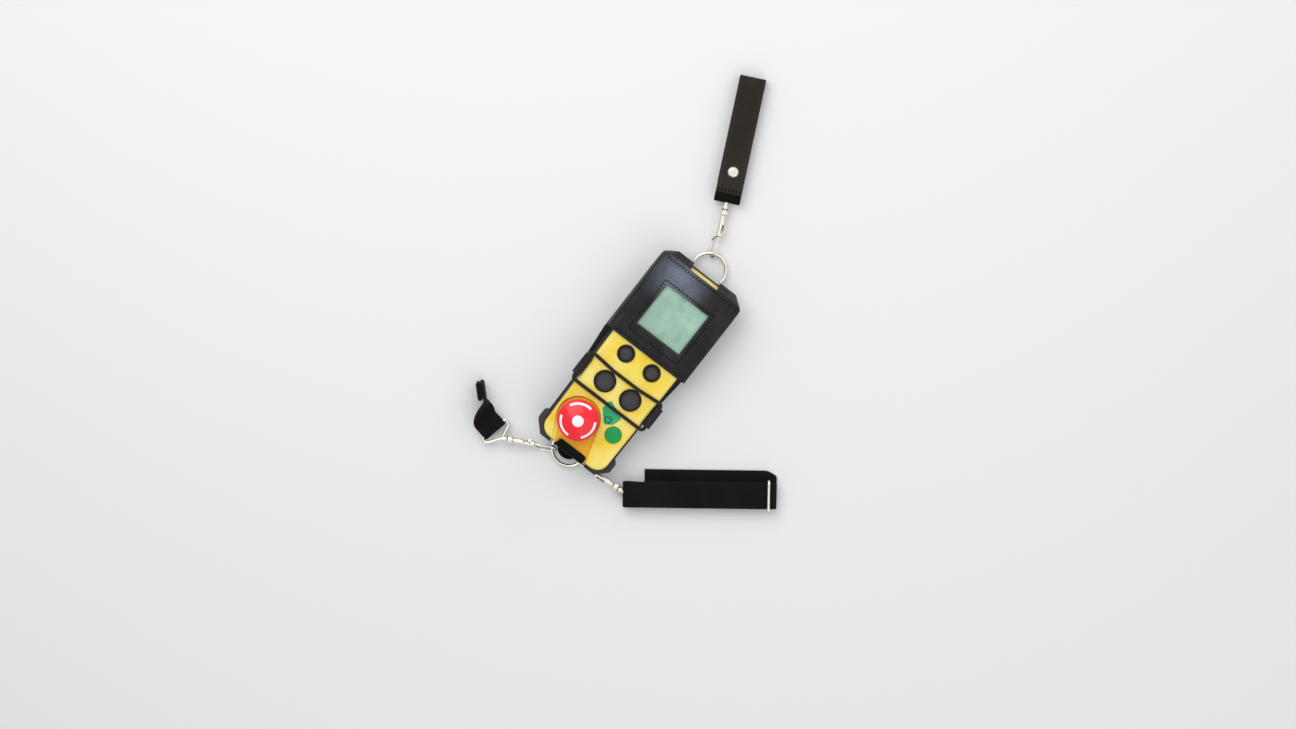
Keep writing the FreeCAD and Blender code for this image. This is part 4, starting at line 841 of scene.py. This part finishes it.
def buildElastic():
    # a round cord along a closed line
    line = bentPath(elastic["corners"], elastic["bends"], elastic["step"])[:-1]
    path = np.insert(line, 2, elastic["level"], axis=1)
    up = np.broadcast_to(upward, path.shape)
    side = unit(np.cross(np.roll(path, -1, axis=0) - np.roll(path, 1, axis=0), up))
    outline = circleOutline(elastic["radius"], elastic["sides"])
    along, across = lengthAlong(path, closed=True), lengthAlong(outline, closed=True)
    piece = gridPiece("elasticCord", carried(path, side, up, outline), looks["cord"], elastic,
                      wrapRows=True, wrapColumns=True, along=along, across=across)
    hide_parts(elastic["node"])


sewPocket(buildPocket())
buildBackPanel()
buildSpine()
buildTab()
buildTongue()
buildWings()
buildElastic()
print("holster sewn")


webbing = {
    "width": 25.0, "thick": 2.0, "corner": 0.7, "axisLevel": 9.114, "step": 1.0, "turnSteps": 24,
    "driftRun": 24, "leadStep": 0.7, "leadBend": 0.6, "turnShare": 0.499,
}
strapOutline = flatOutline(webbing["width"], webbing["thick"], webbing["corner"])


def barFold(settings):
    # (s, z) line of a doubled strap end: back along the underside, round the bar and up to the face side
    level, fold = webbing["axisLevel"], settings["fold"]
    radius = settings["bar"] + webbing["thick"] / 2
    under = level + radius - webbing["thick"]
    base = math.atan2(under - level, fold) - math.acos(radius / math.hypot(fold, under - level))
    turn = np.linspace(base, -1.5 * math.pi, webbing["turnSteps"])
    around = onArc(turn, radius, (0, level))
    corners = [(settings["tail"], under), (fold, under), around[0]]
    lead = bentPath(corners, [0, fold * webbing["leadBend"], 0], webbing["leadStep"])
    return np.vstack([lead[:-1], around])


def foldedRun(start, ends, levels, step):
    # a line to and fro between the ends, from level to level by round turns
    corners, bends = [start], [0]
    for end, level, following in zip(ends, levels, levels[1:]):
        corners += [(end, level), (end, following)]
        bends += [abs(level - following) * webbing["turnShare"]] * 2
    return bentPath(corners + [(ends[-1], levels[-1])], bends + [0], step)


def layDown(line, settings, shift=0.0):
    # a strap's own (s, z) line to the frame, with a shift across it
    turn = math.radians(settings["angle"])
    x = settings["place"][0] + line[:, 0] * math.cos(turn) - shift * math.sin(turn)
    y = settings["place"][1] + line[:, 0] * math.sin(turn) + shift * math.cos(turn)
    return np.stack([x, y, line[:, 1]], axis=1)


def acrossAt(angle):
    # level direction square to a strap at this angle
    turn = math.radians(angle)
    return np.array([-math.sin(turn), math.cos(turn), 0.0])


shoulder = {
    "body": "shoulder_strap", "slot": "brown_webbing", "nodes": ("shoulder_strap",),
    "tones": ((18, 17, 14), (58, 54, 48)), "paintedShadeTo": 5.2,
    "place": (-28.2, 177.533), "angle": 115.8, "bar": 2.1, "tail": 34.0, "fold": 14.0,
    "ends": (117, 40, 117, 14, 117), "levels": (9.4105, 6.607, 3.8035, 1.0), "drift": 0.0,
    "seams": [(7.5, 10.5), (9.0, 10.5)],
}
rightStrap = {
    "body": "right_strap", "slot": "black_webbing", "nodes": ("right_strap", "right_strap_return"),
    "place": (71.092, -107.926), "angle": 37.0, "bar": 2.1, "tail": 34.0, "fold": 14.0,
    "ends": (144, 17, 144, 17), "levels": (7.014, 4.007, 1.0), "drift": 11.0,
    "seams": [(6.5, 9.5), (31.5, 9.5)],
}


def buildLongStrap(name, look, settings):
    # the doubled end and the face run, then the spare length to and fro under it, drifting to one side
    head = barFold(settings)
    top = head[-1, 1]
    run = foldedRun(head[-1], settings["ends"], (top, *settings["levels"]), webbing["step"])
    line = np.vstack([head[:-1], run])
    along = lengthAlong(line)
    share = np.clip((along - along[np.argmax(line[:, 0])]) / webbing["driftRun"] + 0.5, 0, 1)
    path = layDown(line, settings, settings["drift"] * share * share * (3 - 2 * share))
    side = acrossAt(settings["angle"])
    piece = stripPiece(name + "Webbing", path, side, strapOutline, look, settings)
    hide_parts(*settings["nodes"])
    for count, (s, half) in enumerate(settings["seams"]):
        middle = layDown(np.array([(s, top + webbing["thick"] / 2)]), settings)
        seam = middle + np.outer((-half, half), side)
        stitchRow(name + "Stitches" + str(count), seam, upward, body=settings["body"])


leftStrap = {
    "body": "left_strap", "slot": "black_webbing", "nodes": ("left_strap", "left_strap_fold"),
    "place": (-69.653, -136.131), "angle": 168.0, "bar": 1.7, "tail": 11.0, "fold": 9.0,
    "end": (-93.0, -118.5, 12.5), "endAngle": 135.0, "pull": 0.33, "twistSteps": 41, "ends": (18, 2.6, 18),
    "levels": (0, 2.6, 5.2), "foldStep": 0.6,
}


def buildLeftStrap():
    # doubled end in the eye, a twist along a cubic curve that sets the band on edge, then a standing fold
    head = barFold(leftStrap)
    headPath = layDown(np.append(head, [(leftStrap["tail"], head[-1, 1])], axis=0), leftStrap)
    start, end = headPath[-1], np.array(leftStrap["end"])
    headings = np.radians([leftStrap["angle"], leftStrap["endAngle"]])
    ahead = np.insert(onArc(headings), 2, 0.0, axis=1)
    reach = np.linalg.norm(end - start) * leftStrap["pull"]
    t = np.linspace(0, 1, leftStrap["twistSteps"] + 1)[1:, None]
    pulls = (start, start + ahead[0] * reach, end - ahead[1] * reach, end)
    twistPath = sum(math.comb(3, k) * t ** k * (1 - t) ** (3 - k) * pull for k, pull in enumerate(pulls))
    heading, turn = headings[0] + (headings[1] - headings[0]) * t, t * math.pi / 2
    level = np.hstack([-np.sin(heading), np.cos(heading), 0 * t])
    twistSide = level * np.cos(turn) + np.array(upward) * np.sin(turn)
    fold = foldedRun((0, 0), leftStrap["ends"], leftStrap["levels"], leftStrap["foldStep"])[1:]
    foldPath = end + fold[:, :1] * ahead[1] + fold[:, 1:] * acrossAt(leftStrap["endAngle"])
    path = np.vstack([headPath, twistPath, foldPath])
    headSide = np.broadcast_to(acrossAt(leftStrap["angle"]), headPath.shape)
    side = np.vstack([headSide, twistSide, np.broadcast_to(upward, foldPath.shape)])
    piece = stripPiece("leftWebbing", path, side, strapOutline, looks["blackStrap"], leftStrap)
    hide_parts(*leftStrap["nodes"])


buildLongStrap("shoulder", webbingLook("brownWebbing", *shoulder["tones"], end=shoulder), shoulder)
buildLongStrap("right", looks["blackStrap"], rightStrap)
buildLeftStrap()
print("straps laid")


def flattens(piece, node):
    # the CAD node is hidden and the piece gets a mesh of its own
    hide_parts(node)
    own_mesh(piece)


domes = {
    "body": "transmitter", "slot": "clear_rubber", "wall": 0.8, "top": 3.2, "bend": 0.15, "step": 0.5,
    "sides": 36,
    "joints": {**{button: button + "_press" for button in buttons}, "start_button": "start_press"},
}


def buildDomes():
    # a hollow rubber cone: down the inside, over the foot and up the outside
    wall, top, bend = domes["wall"], domes["top"], domes["bend"]
    for button, joint in domes["joints"].items():
        node = button + "_dome"
        low, high = np.array(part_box(node)) / mm
        foot = (high[0] - low[0]) / 2
        corners = [(top - wall, high[2] - wall), (foot - wall, low[2]), (foot, low[2]), (top, high[2])]
        line = bentPath(corners, [0, bend, bend, 0], domes["step"])
        centre = (low + high)[:2] / 2
        piece = turnedPiece(node + "_rubber", line, centre, domes["sides"], looks["dome"], domes)
        flattens(piece, node)


spring = {
    "body": "transmitter", "slot": "steel", "node": "stop_spring", "joint": "stop_push", "wire": 0.6,
    "turns": 4, "perTurn": 40, "sides": 12,
}


def buildSpring():
    # a round wire along a helix
    low, high = np.array(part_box(spring["node"])) / mm
    wire, turns = spring["wire"], spring["turns"]
    angle = np.linspace(0, 2 * math.pi * turns, turns * spring["perTurn"] + 1)
    away = np.insert(onArc(angle), 2, 0.0, axis=1)
    path = away * ((high[0] - low[0]) / 2 - wire) + np.append((low + high)[:2] / 2, 0)
    path[:, 2] = np.linspace(low[2] + wire, high[2] - wire, len(angle))
    outline = circleOutline(wire, spring["sides"])
    piece = stripPiece("stopSpringWire", path, away, outline, looks["steel"], spring)
    flattens(piece, spring["node"])


buildDomes()
buildSpring()
print("domes and spring set")

camera = {
    "aim": (7.5, 7.7, 37.5), "frameWidth": 1235.088, "distance": 3000, "tilt": 7.61,
    "lean": (-0.599, 0.801), "roll": 37.75, "sensor": 36.0, "clipEnd": 50,
}


def addCamera():
    # looks down on the part, tilted and rolled; the picture is frameWidth wide at the aim
    tilt, roll = math.radians(camera["tilt"]), math.radians(camera["roll"])
    leanX, leanY = camera["lean"]
    back = Vector((leanX * math.sin(tilt), leanY * math.sin(tilt), math.cos(tilt)))
    right = Vector((-math.sin(roll), math.cos(roll), 0)).cross(back).normalized()
    data = bpy.data.cameras.new("camera")
    data.sensor_width = camera["sensor"]
    data.lens = camera["sensor"] * camera["distance"] / camera["frameWidth"]
    data.clip_end = camera["clipEnd"]
    scene.camera = linked("camera", data)
    place = (Vector(camera["aim"]) + back * camera["distance"]) * mm
    turned = Matrix((right, back.cross(right), back)).transposed().to_4x4()
    scene.camera.matrix_world = Matrix.Translation(place) @ turned


studio = {
    "floorTone": (0.86, 0.86, 0.86, 1), "floorRough": 0.9, "floorHalf": 4000, "floorLevel": -0.3,
    "worldTone": (0.95, 0.97, 1.0, 1), "worldLevel": 0.46, "seenTone": (1, 1, 1, 1), "lampAim": (0, 50, 0),
    "lamps": [("windowLight", (-900, 500, 1500), 1.5, 18.0), ("fillLight", (900, -300, 1400), 1.6, 5.5),
              ("edgeLight", (200, 1500, 900), 1.2, 4.0)],
}


def addFloor():
    # a pale floor that the camera sees almost white, with the object's shadow kept
    look = Look("paleFloor", {"Roughness": studio["floorRough"], "Base Color": studio["floorTone"]})
    half, level = studio["floorHalf"] * mm, studio["floorLevel"] * mm
    corners = [(a * half, b * half, level) for a, b in ((-1, -1), (1, -1), (1, 1), (-1, 1))]
    mesh = bpy.data.meshes.new("floor")
    mesh.from_pydata(corners, [], [(0, 1, 2, 3)])
    mesh.materials.append(look.material)
    linked("floor", mesh)


def addLamps():
    # square lamps, all turned to the same point
    for name, place, width, power in studio["lamps"]:
        data = bpy.data.lights.new(name, "AREA")
        data.size = width
        data.energy = power
        lamp = linked(name, data)
        lamp.location = Vector(place) * mm
        ahead = Vector(studio["lampAim"]) * mm - lamp.location
        lamp.rotation_euler = ahead.to_track_quat("-Z", "Y").to_euler()


def addWorld():
    # a soft sky lights the part; the camera, reflections and clear pieces see plain white
    scene.world = bpy.data.worlds.new("studio")
    sky = Nodes(scene.world, "ShaderNodeOutputWorld")
    soft = sky.add("ShaderNodeBackground", {"Color": studio["worldTone"], "Strength": studio["worldLevel"]})
    white = sky.add("ShaderNodeBackground", {"Color": studio["seenTone"]})
    rays = sky.add("ShaderNodeLightPath", {}).socket.node.outputs
    kinds = ("Is Camera Ray", "Is Glossy Ray", "Is Transmission Ray")
    seen, glossy, clear = [Wire(sky, rays[kind]) for kind in kinds]
    blend = sky.add("ShaderNodeMixShader", {0: seen.most(glossy).most(clear), 1: soft, 2: white})
    sky.plug(sky.output.inputs["Surface"], blend)


addCamera()
addFloor()
addLamps()
addWorld()
print("done")
